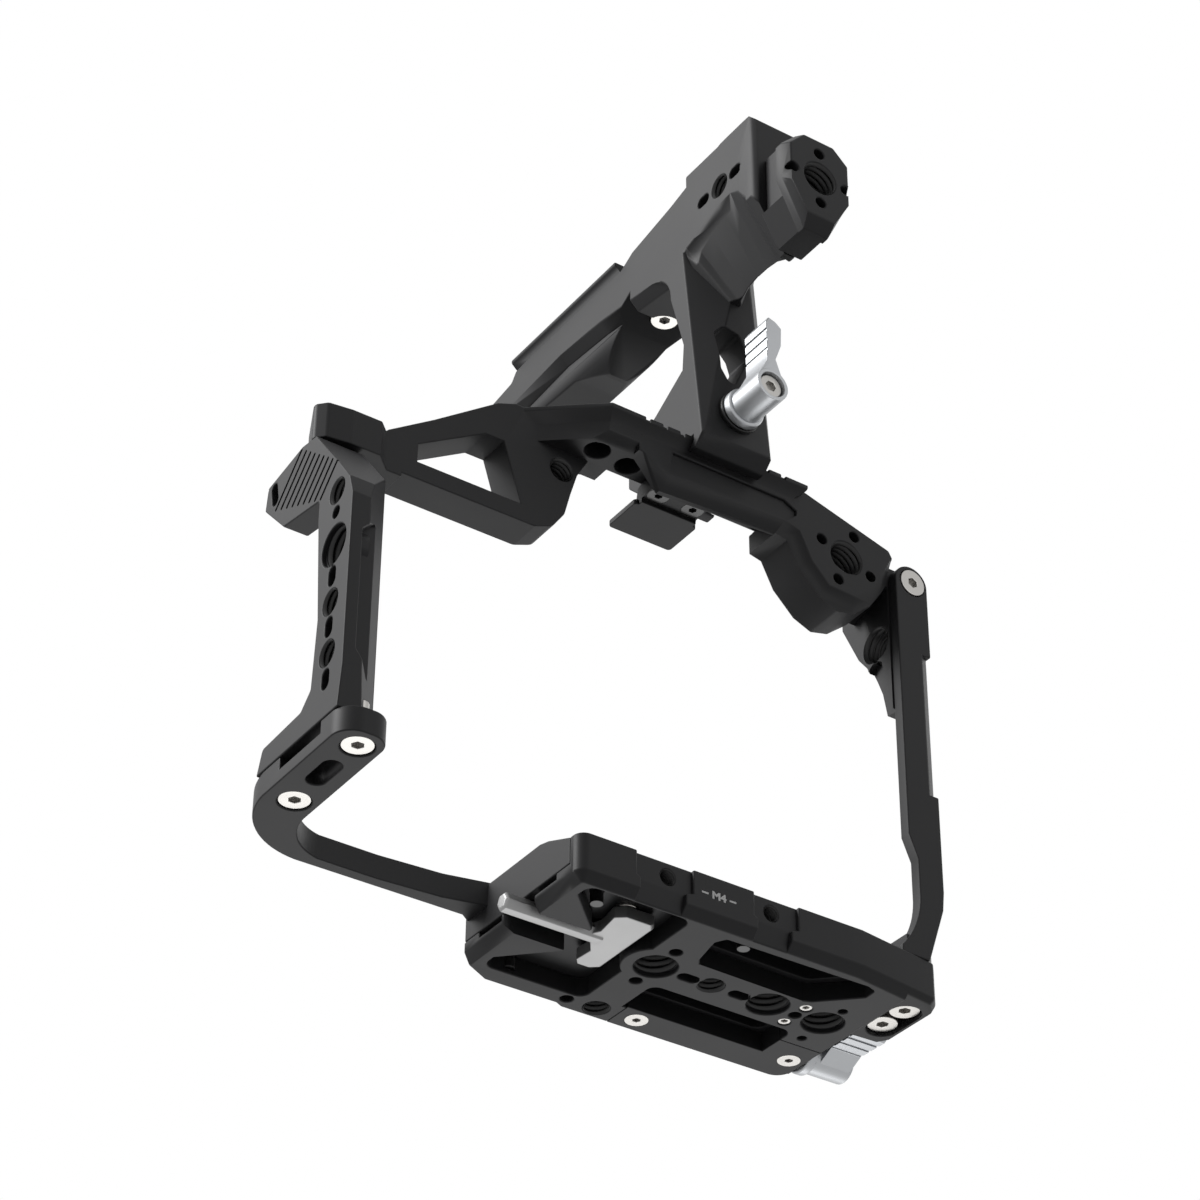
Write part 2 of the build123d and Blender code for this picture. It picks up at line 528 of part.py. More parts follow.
side_bar_foot_screws = Compound(
    [cap_screw((x, y, 4.6), (0, 0, 1), 11.5) for x, y in LOBE_SCREWS])
side_bar_foot_screws.label = "side_bar_foot_screws"
export_step(side_bar_foot_screws.moved(TO_ORIGIN), "parts/side_bar_foot_screws.step")

side_bar_top_screw = cap_screw((BAR_TOP_SCREW[0], BAR_FRONT + 2.0, BAR_TOP_SCREW[1]), (0, 1, 0), 9.0,
                               head_h=2.2)
side_bar_top_screw.label = "side_bar_top_screw"
export_step(side_bar_top_screw.moved(TO_ORIGIN), "parts/side_bar_top_screw.step")

# ---------------------------------------------------------------- grip plate
GRIP_Y = -14.6
GRIP_QUARTERS = (74.9, 45.4)
GRIP_LOW_QUARTER = 32.2                # 1 mm shallower than the two above it
GRIP_HOLE_DEPTH = 7.5
GRIP_SLOTS = (52.2, 39.0, 25.7)
GRIP_EIGHTH_Z = 60.4
LUG_SLOT = (15.0, 92.0)
TOP_SCREWS = [(-112.5, 0.8), (-110.6, 9.0)]
TOP_SCREW_SEAT = 105.0

with BuildPart() as grip_plate:
    with BuildSketch(Plane.YZ.offset(GRIP_LEFT)) as grip_outline:
        Polygon((-20.5, ARM_TOP), (-21.7, 26.0), (-21.7, 70.7), (-20.0, 76.0), (-3.5, GRIP_TOP), (3.0, 98.0),
                (18.5, 95.5), (19.2, 89.7), (9.7, 79.8), (-6.6, 77.0), (-6.6, 72.0), (-9.3, 43.7),
                (-8.3, 26.4), (-4.5, 22.8), (11.6, 22.0), (13.6, ARM_TOP), align=None)
        fillet(grip_outline.vertices().filter_by(lambda v: v.Z > 72 and v.Y < -15 or v.Y > 17), 1.2)
    extrude(amount=GRIP_INNER - GRIP_LEFT)
    # the front's inner half slopes back towards the camera's grip
    with BuildSketch(Plane.XY.offset(ARM_TOP)):
        Polygon((-115.4, -24.0), (-115.4, -21.8), (GRIP_INNER - 0.1, -14.4), (GRIP_INNER + 1, -14.4),
                (GRIP_INNER + 1, -24.0), align=None)
    extrude(amount=GRIP_TOP, mode=Mode.SUBTRACT)
    with BuildSketch(Plane.XZ.offset(24.0)):
        Polygon((-116.9, 62.0), (-113.0, 66.0), (GRIP_INNER + 1, 66.0), (GRIP_INNER + 1, 26.0),
                (-113.0, 26.0), (-116.9, 31.0), align=None)
    extrude(amount=-5.6, mode=Mode.SUBTRACT)
    # the lug is thinner than the plate, on the outside
    with BuildSketch(Plane.YZ.offset(GRIP_INNER)):
        Polygon((4.0, 76.0), (22.0, 76.0), (22.0, 92.0), (4.0, 92.0), align=None)
    extrude(amount=-5.5, mode=Mode.SUBTRACT)
    with BuildSketch(Plane.YZ.offset(GRIP_LEFT)):
        slot_at(LUG_SLOT, 6.5, 2.6, angle=78)
    extrude(amount=8.0, mode=Mode.SUBTRACT)
    # thumb grooves across the lug
    with BuildSketch(Plane.YZ.offset(GRIP_LEFT)):
        for i in range(9):
            with Locations((8.6 - 2.38 * i, 92.2 - 1.47 * i)):
                SlotOverall(15.5 - 0.7 * i, 0.9, rotation=-45)
    extrude(amount=0.5, mode=Mode.SUBTRACT)
    # camera-accessory holes
    with BuildSketch(Plane.YZ.offset(GRIP_LEFT)):
        with Locations(*[(GRIP_Y, z) for z in GRIP_QUARTERS]):
            Circle(QUARTER_R)
        for z in GRIP_SLOTS:
            slot_at((GRIP_Y, z), 5.0, 3.0, angle=90)
        with Locations((GRIP_Y, GRIP_EIGHTH_Z + 8.8)):
            Circle(PIN_R)
    extrude(amount=GRIP_HOLE_DEPTH, mode=Mode.SUBTRACT)
    with BuildSketch(Plane.YZ.offset(GRIP_LEFT)):
        with Locations((GRIP_Y, GRIP_LOW_QUARTER)):
            Circle(QUARTER_R)
    extrude(amount=GRIP_HOLE_DEPTH - 1.0, mode=Mode.SUBTRACT)
    with BuildSketch(Plane.YZ.offset(GRIP_LEFT)):
        with Locations((GRIP_Y, GRIP_EIGHTH_Z)):
            Circle(THREE_EIGHTHS_R)
    extrude(amount=6.3, mode=Mode.SUBTRACT)
    with BuildSketch(Plane.YZ.offset(GRIP_LEFT)):
        with Locations((GRIP_Y, GRIP_EIGHTH_Z)):
            Circle(5.1)
    extrude(amount=1.2, mode=Mode.SUBTRACT)
    with BuildSketch(Plane.XY.offset(ARM_TOP)):
        with Locations(*ARM_SCREWS):
            Circle(M4_R)
    extrude(amount=4.6, mode=Mode.SUBTRACT)
    with BuildSketch(Plane.XY.offset(99.0)):
        with Locations(*TOP_SCREWS):
            Circle(M3_R)
    extrude(amount=-6.2, mode=Mode.SUBTRACT)
grip_plate.part.label = "grip_plate"
export_step(grip_plate.part.moved(TO_ORIGIN), "parts/grip_plate.step")

grip_arm_screws = Compound(
    [cap_screw((x, y, ARM_BOTTOM + 3.0), (0, 0, 1), 7.6) for x, y in ARM_SCREWS])
grip_arm_screws.label = "grip_arm_screws"
export_step(grip_arm_screws.moved(TO_ORIGIN), "parts/grip_arm_screws.step")

# ---------------------------------------------------------------- top frame
BLOCK_BASE, BLOCK_TOP = 98.0, 107.8
RAIL_LEFT, RAIL_RIGHT = -42.0, 8.0
RAIL_CORNER = -46.5                    # where the rail's front edge turns back
APRON_BACK = -7.6
WEB_FRONT, WEB_T = -0.5, 9.5
SHOE_X = -22.0
SHOE_SCREWS = [(-27.0, -3.6), (-17.0, -3.6)]
LEG_HOLE = (-3.4, 101.6)               # Y, Z
WEB_HOLE = (-52.8, 118.5)              # X, Z
RING_DEPTH, RING_HOLE_DEPTH = 13.5, 11.0
UNDER_QUARTERS = [(-46.0, -5.4), (-36.5, -4.4)]


def ring_block_outline():
    """Lower right of the front outline, around the 3/8 hole."""
    Polygon((3.8, 118.4), (7.3, 117.6), (10.8, 110.4), (16.8, 104.4), (22.0, 102.3), (27.0, 103.6),
            (32.8, 108.4), (36.3, 113.6), (38.0, 117.5), (38.0, 122.8), (36.9, 124.9), (9.8, 132.5),
            (3.8, 132.5), align=None)


with BuildPart() as top_frame:
    # front beam: slab, apron below it, and the ring block at its right end
    with BuildSketch(Plane.XZ.offset(-SLAB_FRONT)):
        Polygon((RAIL_LEFT, SLAB_BOTTOM), (-37.0, SLAB_BOTTOM), (-30.6, 116.4), (4.2, 118.5),
                (4.2, RAIL_NECK), (RAIL_LEFT, RAIL_NECK), align=None)
    extrude(amount=APRON_BACK - SLAB_FRONT, dir=(0, 1, 0))
    with BuildSketch(Plane.XZ.offset(-SLAB_FRONT)):
        ring_block_outline()
    extrude(amount=RING_DEPTH, dir=(0, 1, 0))
    # broad bevel along the lower front edge
    with BuildSketch(Plane.XZ.offset(-SLAB_FRONT)):
        Polygon((-36.4, SLAB_BOTTOM), (-29.6, 119.0), (4.9, 121.1), (9.4, 120.0), (12.8, 112.4), (18.0, 107.1),
                (25.9, 106.7), (30.4, 110.6), (33.7, 115.5), (37.6, 123.1), (45.0, 123.1), (45.0, 90.0),
                (-36.4, 90.0), align=None)
    extrude(amount=-2.6, taper=45, mode=Mode.SUBTRACT)
    # slab behind the apron, swept back at its left end
    with BuildSketch(Plane.XY.offset(SLAB_BOTTOM)):
        Polygon((-64.0, 3.0), (RAIL_CORNER, SLAB_FRONT), (RAIL_RIGHT, SLAB_FRONT), (RAIL_RIGHT, SLAB_REAR),
                (-44.0, SLAB_REAR), (-50.0, 9.0), (-66.0, 9.0), align=None)
    extrude(amount=RAIL_NECK - SLAB_BOTTOM)
    # its left end rises to the rail in a 45 degree bevel
    with BuildSketch(Plane.YZ.offset(RAIL_CORNER - 20)):
        Polygon((SLAB_FRONT - 1, SLAB_BOTTOM - 1), (-7.9, SLAB_BOTTOM - 1), (SLAB_FRONT - 1, 127.1), align=None)
    extrude(amount=RAIL_LEFT + 4.0 - RAIL_CORNER + 20, mode=Mode.SUBTRACT)
    with BuildSketch(Plane.YZ.offset(RAIL_RIGHT + 2)):
        Polygon((-0.5, SLAB_BOTTOM), (SLAB_REAR + 0.1, SLAB_BOTTOM), (SLAB_REAR + 0.1, RAIL_NECK - 0.1),
                align=None)
    extrude(amount=RAIL_LEFT - RAIL_RIGHT, mode=Mode.SUBTRACT)
    # accessory rail: flared flanks under a straight rim
    with BuildSketch(Plane.XY.offset(RAIL_NECK)) as rail_plan:
        Polygon((-64.0, 3.0), (RAIL_CORNER, SLAB_FRONT), (RAIL_RIGHT, SLAB_FRONT), (RAIL_RIGHT, SLAB_REAR),
                (-64.0, SLAB_REAR), align=None)
    extrude(amount=RAIL_FLARE, taper=-45)
    at_rim = top_frame.faces().filter_by_position(Axis.Z, RAIL_RIM - 0.01, RAIL_RIM + 0.01)
    extrude(at_rim.sort_by(SortBy.AREA)[-1], amount=RAIL_TOP - RAIL_RIM)
    # notches that stop a clamp from creeping
    with BuildSketch(Plane.XY.offset(RAIL_TOP)):
        with GridLocations(5.0, SLAB_REAR - SLAB_FRONT + 2 * RAIL_FLARE, 9, 2):
            with Locations((-17.0, (SLAB_FRONT + SLAB_REAR) / 2)):
                Rectangle(1.2, 1.6)
    extrude(amount=-1.2, mode=Mode.SUBTRACT)
    # grip-end block
    with BuildSketch(Plane.XY.offset(BLOCK_BASE)) as block_plan:
        Polygon((-120.0, -1.0), (-117.6, -3.6), (-111.6, -4.4), (-104.0, -4.4), (-100.0, -0.5),
                (-96.0, -0.5), (-96.0, 9.0), (-103.0, 13.5), (-112.2, 13.5), (-115.0, 10.0), align=None)
        fillet(block_plan.vertices().filter_by(lambda v: v.X < -111.5), 1.5)
    extrude(amount=BLOCK_TOP - BLOCK_BASE)
    # web that climbs from the block to the slab, behind the camera's grip
    with BuildSketch(Plane.XZ.offset(-WEB_FRONT)) as web_plan:
        Polygon((-102.0, 99.0), (-103.0, 106.8), (-100.0, 109.8), (-88.0, 118.0), (-71.0, 130.5),
                (-66.0, RAIL_TOP), (-50.0, RAIL_TOP), (-45.0, SLAB_BOTTOM + 0.5), (-48.2, 118.8),
                (-50.0, 112.5), (-51.6, 106.0), (-55.0, 101.0), (-60.0, 99.0), align=None)
        fillet(web_plan.vertices().filter_by(lambda v: -60.5 < v.X < -51.0 and v.Z < 102), 3.0)
        Polygon((-92.0, 104.0), (-92.0, 109.0), (-74.0, 120.0), (-69.0, 120.0), (-64.0, 104.0),
                align=None, mode=Mode.SUBTRACT)
    extrude(amount=WEB_T, dir=(0, 1, 0))
    with BuildSketch(Plane.XZ.offset(-WEB_FRONT)):
        with Locations(WEB_HOLE):
            Circle(QUARTER_R)
    extrude(amount=7.0, dir=(0, 1, 0), mode=Mode.SUBTRACT)
    # right leg, down beside the camera behind the side bar
    with BuildSketch(Plane.YZ.offset(LEG_INNER)) as leg_plan:
        Polygon((-8.9, 80.4), (-4.6, 81.0), (-3.2, 88.0), (0.5, 97.0), (3.6, 101.0), (9.5, 113.0),
                (9.5, 120.0), (6.0, 122.2), (-8.9, 122.2), align=None)
    extrude(amount=LEG_OUTER - LEG_INNER)
    with BuildSketch(Plane.YZ.offset(LEG_INNER - 4)):
        Polygon((-8.9, 116.0), (SLAB_REAR, 112.0), (SLAB_REAR, 122.8), (-8.9, 122.8), align=None)
    extrude(amount=5.0)
    with BuildSketch(Plane.YZ.offset(LEG_INNER)):
        with Locations((-5.4, 82.4)):
            SlotCenterToCenter(24.0, 5.6, rotation=78)
    extrude(amount=1.8, mode=Mode.SUBTRACT)
    with BuildSketch(Plane.YZ.offset(LEG_INNER)):
        with Locations(LEG_HOLE):
            Circle(THREE_EIGHTHS_R)
    extrude(amount=LEG_OUTER - LEG_INNER, mode=Mode.SUBTRACT)
    with BuildSketch(Plane.XZ.offset(-(BAR_FRONT + BAR_T))):
        with Locations(BAR_TOP_SCREW):
            Circle(M4_R)
    extrude(amount=9.0, dir=(0, 1, 0), mode=Mode.SUBTRACT)
    # 3/8 hole with four locating-pin holes
    with BuildSketch(Plane.XZ.offset(-SLAB_FRONT)):
        with Locations((RING_X, RING_Z)):
            Circle(THREE_EIGHTHS_R)
    extrude(amount=RING_HOLE_DEPTH, dir=(0, 1, 0), mode=Mode.SUBTRACT)
    with BuildSketch(Plane.XZ.offset(-SLAB_FRONT)):
        ring_of_pins((RING_X, RING_Z), -20)
    extrude(amount=4.0, dir=(0, 1, 0), mode=Mode.SUBTRACT)
    # shallow panel in the front
    with BuildSketch(Plane.XZ.offset(-SLAB_FRONT)) as panel:
        Polygon((-29.5, 121.3), (-28.0, 127.4), (5.0, 127.4), (8.5, 125.5), (8.5, 124.0), (5.5, 121.3),
                align=None)
    extrude(amount=0.8, dir=(0, 1, 0), mode=Mode.SUBTRACT)
    # threaded holes in the underside, shoe screws, and the block's counterbored screws
    with BuildSketch(Plane.XY.offset(SLAB_BOTTOM)):
        with Locations(*UNDER_QUARTERS):
            Circle(QUARTER_R)
    extrude(amount=6.5, mode=Mode.SUBTRACT)
    with BuildSketch(Plane.XY.offset(SLAB_BOTTOM)):
        with Locations(*SHOE_SCREWS):
            Circle(M3_R)
    extrude(amount=6.0, mode=Mode.SUBTRACT)
    with BuildSketch(Plane.XY.offset(BLOCK_BASE)):
        with Locations(*TOP_SCREWS):
            Circle(M3_R)
    extrude(amount=20.0, mode=Mode.SUBTRACT)
    with BuildSketch(Plane.XY.offset(TOP_SCREW_SEAT)):
        with Locations(*TOP_SCREWS):
            Circle(M3_HEAD_R + 0.1)
    extrude(amount=20.0, mode=Mode.SUBTRACT)
top_frame.part.label = "top_frame"
export_step(top_frame.part.moved(TO_ORIGIN), "parts/top_frame.step")

with BuildPart() as hot_shoe_foot:
    with BuildSketch(Plane.YZ.offset(SHOE_X - 8.0)):
        Polygon((APRON_BACK, 119.6), (-0.8, 119.6), (-0.8, 118.4), (12.0, 118.4), (12.0, 119.9),
                (1.6, 120.4), (1.0, 123.4), (-0.6, SLAB_BOTTOM), (APRON_BACK, SLAB_BOTTOM), align=None)
    extrude(amount=16.0)
    with BuildSketch(Plane.XY.offset(118.4)):
        with Locations((SHOE_X, 6.2)):
            RectangleRounded(18.2, 11.6, 1.0)
    extrude(amount=1.5)
    with BuildSketch(Plane.XY.offset(119.6)):
        with Locations(*SHOE_SCREWS):
            Circle(M3_R)
    extrude(amount=10.0, mode=Mode.SUBTRACT)
    with BuildSketch(Plane.XY.offset(119.6)):
        with Locations(*SHOE_SCREWS):
            Circle(M3_HEAD_R)
    extrude(amount=M3_HEAD_R - M3_R, taper=44.5, mode=Mode.SUBTRACT)
hot_shoe_foot.part.label = "hot_shoe_foot"
export_step(hot_shoe_foot.part.moved(TO_ORIGIN), "parts/hot_shoe_foot.step")

hot_shoe_screws = Compound([flat_screw((x, y, 119.6), (0, 0, 1), 9.5) for x, y in SHOE_SCREWS])
hot_shoe_screws.label = "hot_shoe_screws"
export_step(hot_shoe_screws.moved(TO_ORIGIN), "parts/hot_shoe_screws.step")

grip_top_screws = Compound(
    [cap_screw((x, y, TOP_SCREW_SEAT), (0, 0, -1), 12.0, head_r=M3_HEAD_R, body_r=M3_R)
     for x, y in TOP_SCREWS])
grip_top_screws.label = "grip_top_screws"
export_step(grip_top_screws.moved(TO_ORIGIN), "parts/grip_top_screws.step")

# ---------------------------------------------------------------- handle
FOOT_BOTTOM = RAIL_TOP + 0.1
STUD_R = 3.0
HANDLE_SCREW = (-13.0, 13.5)
BLOCK_HOLE_Z = 190.8
BLOCK_HOLE_DEPTH = 7.0
BLOCK_SIDE_T = 2.0
BLOCK_SEAT = -43.6                     # Y of the seat of the front block's screw
SIDE_HOLES_Y = (-33.0, -26.4, -19.5)


def plane_through(a, b, c):
    """Plane on three points, with its normal by the right-hand rule."""
    a, b, c = Vector(*a), Vector(*b), Vector(*c)
    return Plane(origin=a, z_dir=(b - a).cross(c - a))


with BuildPart() as handle_leg:
    with BuildSketch(Plane.YZ.offset(HANDLE_L)) as leg_side:
        with BuildLine():
            Polyline((LEG_FRONT_Y, 131.9), (LEG_FRONT_Y, 192.0), (0.0, 196.0), (4.0, 192.0))
            ThreePointArc((4.0, 192.0), (-2.6, 188.2), (-5.0, 181.0))
            Polyline((-5.0, 181.0), (-10.4, 163.0), (-9.8, 155.5), (1.7, 148.1), (7.2, 146.0),
                     (7.2, FOOT_BOTTOM), (-14.25, FOOT_BOTTOM), (-14.25, 131.2), (-12.1, 129.0),
                     (-12.6, 128.6), (-15.0, 128.6), (LEG_FRONT_Y, 131.9))
        make_face()
    extrude(amount=HANDLE_R - HANDLE_L)
    # the front corners are planed off more and more towards the top
    split(bisect_by=plane_through((-23.6, LEG_FRONT_Y, 131.0), (-13.9, LEG_FRONT_Y, 184.0),
                                  (HANDLE_L, -10.6, 192.0)), keep=Keep.BOTTOM)
    split(bisect_by=plane_through((-4.2, LEG_FRONT_Y, 131.0), (-9.4, LEG_FRONT_Y, 184.0),
                                  (HANDLE_R, -12.6, 190.0)), keep=Keep.TOP)

# arch under the nose for the finger, with ruled flanks between the sides and the keel
ARCH_SIDE = [(-37.0, 192.0), (-34.0, 196.2), (-31.0, 198.0), (-26.0, 197.6), (-20.0, 196.2), (-14.6, 194.0),
             (-12.6, 188.0), (-12.0, 180.0)]
ARCH_KEEL = [(-39.2, 175.2), (-36.0, 176.8), (-32.0, 177.4), (-28.0, 177.4), (-24.0, 176.6), (-20.8, 174.6),
             (-18.8, 171.0), (-18.3, 168.0)]
KEEL_Z = 175.3
with BuildPart() as finger_arch:
    for side in (HANDLE_L - 0.1, HANDLE_R + 0.1):
        with BuildSketch(Plane.YZ.offset(side)):
            Polygon(*ARCH_SIDE, (-12.0, 160.0), (-37.0, 160.0), align=None)
        with BuildSketch(Plane.YZ.offset(HANDLE_MID)):
            Polygon(*ARCH_KEEL, (-18.3, 160.0), (-39.2, 160.0), align=None)
        loft(ruled=True)

with BuildPart() as handle_body:
    # upper beam, from the nose to the tail
    with BuildSketch(Plane.YZ.offset(HANDLE_L)) as beam_side:
        Polygon((NOSE_Y, 198.0), (NOSE_Y, 217.0), (-27.1, 217.3), (-5.1, 211.9), (12.0, 209.0), (17.5, 206.2),
                (67.0, 206.2), (69.3, 203.4), (80.8, 201.9), (84.0, 199.0), (82.0, 194.5), (71.0, 192.7),
                (45.3, 194.5), (26.6, 192.9), (-1.9, 188.6), (-28.8, 194.0), align=None)
        fillet(beam_side.vertices().filter_by(lambda v: v.Y > 75), 1.5)
    extrude(amount=HANDLE_R - HANDLE_L)
    for side, inward in ((HANDLE_L, 1), (HANDLE_R, -1)):
        with BuildSketch(Plane.YZ.offset(side)):
            Polygon((-19.0, 194.2), (-1.9, 191.2), (26.6, 195.5), (45.3, 197.1), (71.0, 195.3), (90.0, 198.2),
                    (90.0, 170.0), (-19.0, 170.0), align=None)
        extrude(amount=2.6 * inward, taper=45, mode=Mode.SUBTRACT)
    # rounded belly under the hand
    with BuildSketch(Plane.XZ.offset(-14.0)) as belly:
        with BuildLine():
            Line((-21.5, 197.0), (-21.5, 193.2))
            ThreePointArc((-21.5, 193.2), (HANDLE_MID, 185.6), (-6.6, 193.2))
            Line((-6.6, 193.2), (-6.6, 197.0))
            Line((-6.6, 197.0), (-21.5, 197.0))
        make_face()
    extrude(amount=58.0, dir=(0, 1, 0))
    with BuildSketch(Plane.YZ.offset(HANDLE_L)):
        Polygon((13.0, 196.0), (13.0, 183.0), (80.0, 183.0), (80.0, 196.0), (71.5, 195.0), (58.0, 189.5),
                (44.0, 189.0), (33.0, 186.0), (21.0, 191.5), align=None)
    extrude(amount=HANDLE_R - HANDLE_L, mode=Mode.SUBTRACT)
    # tail rail, on top
    with BuildSketch(Plane.XZ.offset(-17.5)):
        Polygon((HANDLE_L, 206.2), (HANDLE_L - 1.6, 207.8), (HANDLE_L - 1.6, 208.9), (HANDLE_R + 1.6, 208.9),
                (HANDLE_R + 1.6, 207.8), (HANDLE_R, 206.2), align=None)
    extrude(amount=49.5, dir=(0, 1, 0))
    # nose: its section narrows to a keel below the beam
    with BuildSketch(Plane.XZ.offset(-NOSE_Y)):
        Polygon((HANDLE_L, 217.0), (HANDLE_L, 190.8), (-15.6, KEEL_Z), (-12.5, KEEL_Z), (HANDLE_R, 190.8),
                (HANDLE_R, 217.0), align=None)
    extrude(amount=-12.0 - NOSE_Y, dir=(0, 1, 0))
    nose_edges = handle_body.edges().filter_by(Axis.Z).filter_by_position(Axis.Y, NOSE_Y - 0.01, NOSE_Y + 0.01)
    chamfer(nose_edges, 1.4)
    with BuildSketch(Plane.YZ.offset(HANDLE_L - 1)):
        Polygon((NOSE_Y - 0.4, 215.2), (NOSE_Y - 0.4, 217.6), (NOSE_Y + 2.0, 217.6), align=None)
    extrude(amount=HANDLE_R - HANDLE_L + 2, mode=Mode.SUBTRACT)
    add(finger_arch.part, mode=Mode.SUBTRACT)
    # bevel between the beam's sides and the arch
    for side, inward in ((HANDLE_L, 1), (HANDLE_R, -1)):
        with BuildSketch(Plane.YZ.offset(side)):
            Polygon((-30.5, 197.7), (-12.0, 193.2), (-12.0, 180.0), (-30.5, 180.0), align=None)
        extrude(amount=1.8 * inward, taper=45, mode=Mode.SUBTRACT)
    add(handle_leg.part)
    # window in the leg
    with BuildSketch(Plane.XZ.offset(-LEG_FRONT_Y)) as window:
        Polygon((-19.4, 165.0), (-17.6, 167.0), (-12.9, 166.1), (-10.3, 159.6), (-14.6, 149.6), (-16.5, 150.6),
                (-18.4, 153.4), align=None)
        fillet(window.vertices(), 1.2)
    extrude(amount=12.0, dir=(0, 1, 0), mode=Mode.SUBTRACT)
    # clamp: stud bore, guide-pin bores and spring pocket
    with BuildSketch(Plane.XZ.offset(-LEG_FRONT_Y)):
        with Locations((CLAMP_X, CLAMP_Z)):
            Circle(STUD_R + RUNNING)
    extrude(amount=30.0, dir=(0, 1, 0), mode=Mode.SUBTRACT)
    with BuildSketch(Plane.XZ.offset(-7.2)):
        with Locations((CLAMP_X, CLAMP_Z)):
            Circle(4.6)
    extrude(amount=-6.0, dir=(0, 1, 0), mode=Mode.SUBTRACT)
    with BuildSketch(Plane.XZ.offset(-7.2)):
        with Locations((CLAMP_X - 7.5, CLAMP_Z - 3.0), (CLAMP_X + 7.0, CLAMP_Z - 3.0)):
            Circle(1.5)
    extrude(amount=-9.0, dir=(0, 1, 0), mode=Mode.SUBTRACT)
    # threaded and locating holes in the side of the nose
    with BuildSketch(Plane.YZ.offset(HANDLE_L)):
        with Locations((SIDE_HOLES_Y[1], 203.4)):
            Circle(QUARTER_R)
        for y in (SIDE_HOLES_Y[0], SIDE_HOLES_Y[2]):
            slot_at((y, 203.5), 4.6, 3.0, angle=0)
    extrude(amount=8.0, mode=Mode.SUBTRACT)
    # assembly screw, in a counterbore behind the leg
    with BuildSketch(Plane.XY.offset(180.0)):
        with Locations(HANDLE_SCREW):
            Circle(4.0)
    extrude(amount=15.0, mode=Mode.SUBTRACT)
    with BuildSketch(Plane.XY.offset(180.0)):
        with Locations(HANDLE_SCREW):
            Circle(M4_R)
    extrude(amount=25.0, mode=Mode.SUBTRACT)
    # tapped hole of the front block's screw
    with BuildSketch(Plane.XZ.offset(-NOSE_Y)):
        with Locations((HANDLE_MID, BLOCK_HOLE_Z)):
            Circle(M4_R)
    extrude(amount=12.0, dir=(0, 1, 0), mode=Mode.SUBTRACT)
handle_body.part.label = "handle_body"
export_step(handle_body.part.moved(TO_ORIGIN), "parts/handle_body.step")

handle_screw = cap_screw((HANDLE_SCREW[0], HANDLE_SCREW[1], 195.0), (0, 0, 1), 9.0)
handle_screw.label = "handle_screw"
export_step(handle_screw.moved(TO_ORIGIN), "parts/handle_screw.step")


with BuildPart() as front_block:
    # plate, and a front that narrows to a smaller face
    with BuildSketch(Plane.XZ.offset(-BLOCK_BACK)):
        Polygon((-23.9, 188.0), (-23.9, 199.0), (-19.0, 204.0), (-9.0, 204.0), (-4.2, 199.5), (-4.2, 188.0),
                (-10.4, 174.8), (-17.7, 174.8), align=None)
    extrude(amount=-BLOCK_SIDE_T, dir=(0, 1, 0))
    with BuildSketch(Plane.XZ.offset(-(BLOCK_BACK - BLOCK_SIDE_T))):
        Polygon((-23.9, 188.0), (-23.9, 199.0), (-19.0, 204.0), (-9.0, 204.0), (-4.2, 199.5), (-4.2, 188.0),
                (-10.4, 174.8), (-17.7, 174.8), align=None)
    with BuildSketch(Plane.XZ.offset(-BLOCK_FRONT)):
        Polygon((-22.7, 186.4), (-22.7, 198.3), (-18.4, 202.9), (-9.6, 202.9), (-5.3, 198.8), (-5.3, 186.4),
                (-9.9, 178.2), (-18.2, 178.2), align=None)
    loft(ruled=True)
    # neck that stands the block off the nose
    with BuildSketch(Plane.XZ.offset(-BLOCK_BACK)):
        Polygon((-20.6, 203.0), (-20.6, 186.0), (-22.2, 184.4), (-17.5, 175.4), (-10.6, 175.4), (-5.9, 184.4),
                (-7.5, 186.0), (-7.5, 203.0), align=None)
    extrude(amount=NOSE_Y - BLOCK_BACK, dir=(0, 1, 0))
    with BuildSketch(Plane.XZ.offset(-BLOCK_FRONT)):
        with Locations((HANDLE_MID, BLOCK_HOLE_Z)):
            Circle(THREE_EIGHTHS_R)
    extrude(amount=BLOCK_HOLE_DEPTH, dir=(0, 1, 0), mode=Mode.SUBTRACT)
    with BuildSketch(Plane.XZ.offset(-BLOCK_FRONT)):
        ring_of_pins((HANDLE_MID, BLOCK_HOLE_Z), 0)
    extrude(amount=4.0, dir=(0, 1, 0), mode=Mode.SUBTRACT)
    # its screw lies in a counterbore in the floor of the 3/8 hole
    with BuildSketch(Plane.XZ.offset(-BLOCK_FRONT)):
        with Locations((HANDLE_MID, BLOCK_HOLE_Z)):
            Circle(M4_HEAD_R + 0.2)
    extrude(amount=BLOCK_SEAT - BLOCK_FRONT, dir=(0, 1, 0), mode=Mode.SUBTRACT)
    with BuildSketch(Plane.XZ.offset(-BLOCK_FRONT)):
        with Locations((HANDLE_MID, BLOCK_HOLE_Z)):
            Circle(M4_R)
    extrude(amount=NOSE_Y - BLOCK_FRONT, dir=(0, 1, 0), mode=Mode.SUBTRACT)
front_block.part.label = "front_block"
export_step(front_block.part.moved(TO_ORIGIN), "parts/front_block.step")

front_block_screw = cap_screw((HANDLE_MID, BLOCK_SEAT, BLOCK_HOLE_Z), (0, 1, 0), 12.5, head_h=2.4)
front_block_screw.label = "front_block_screw"
export_step(front_block_screw.moved(TO_ORIGIN), "parts/front_block_screw.step")

# ---------------------------------------------------------------- rail clamp
JAW_BACK = 13.0
WASHER_T = 1.2
HUB_LEN = 13.2
CLAMP_PINS = [(CLAMP_X - 7.5, CLAMP_Z - 3.0), (CLAMP_X + 7.0, CLAMP_Z - 3.0)]

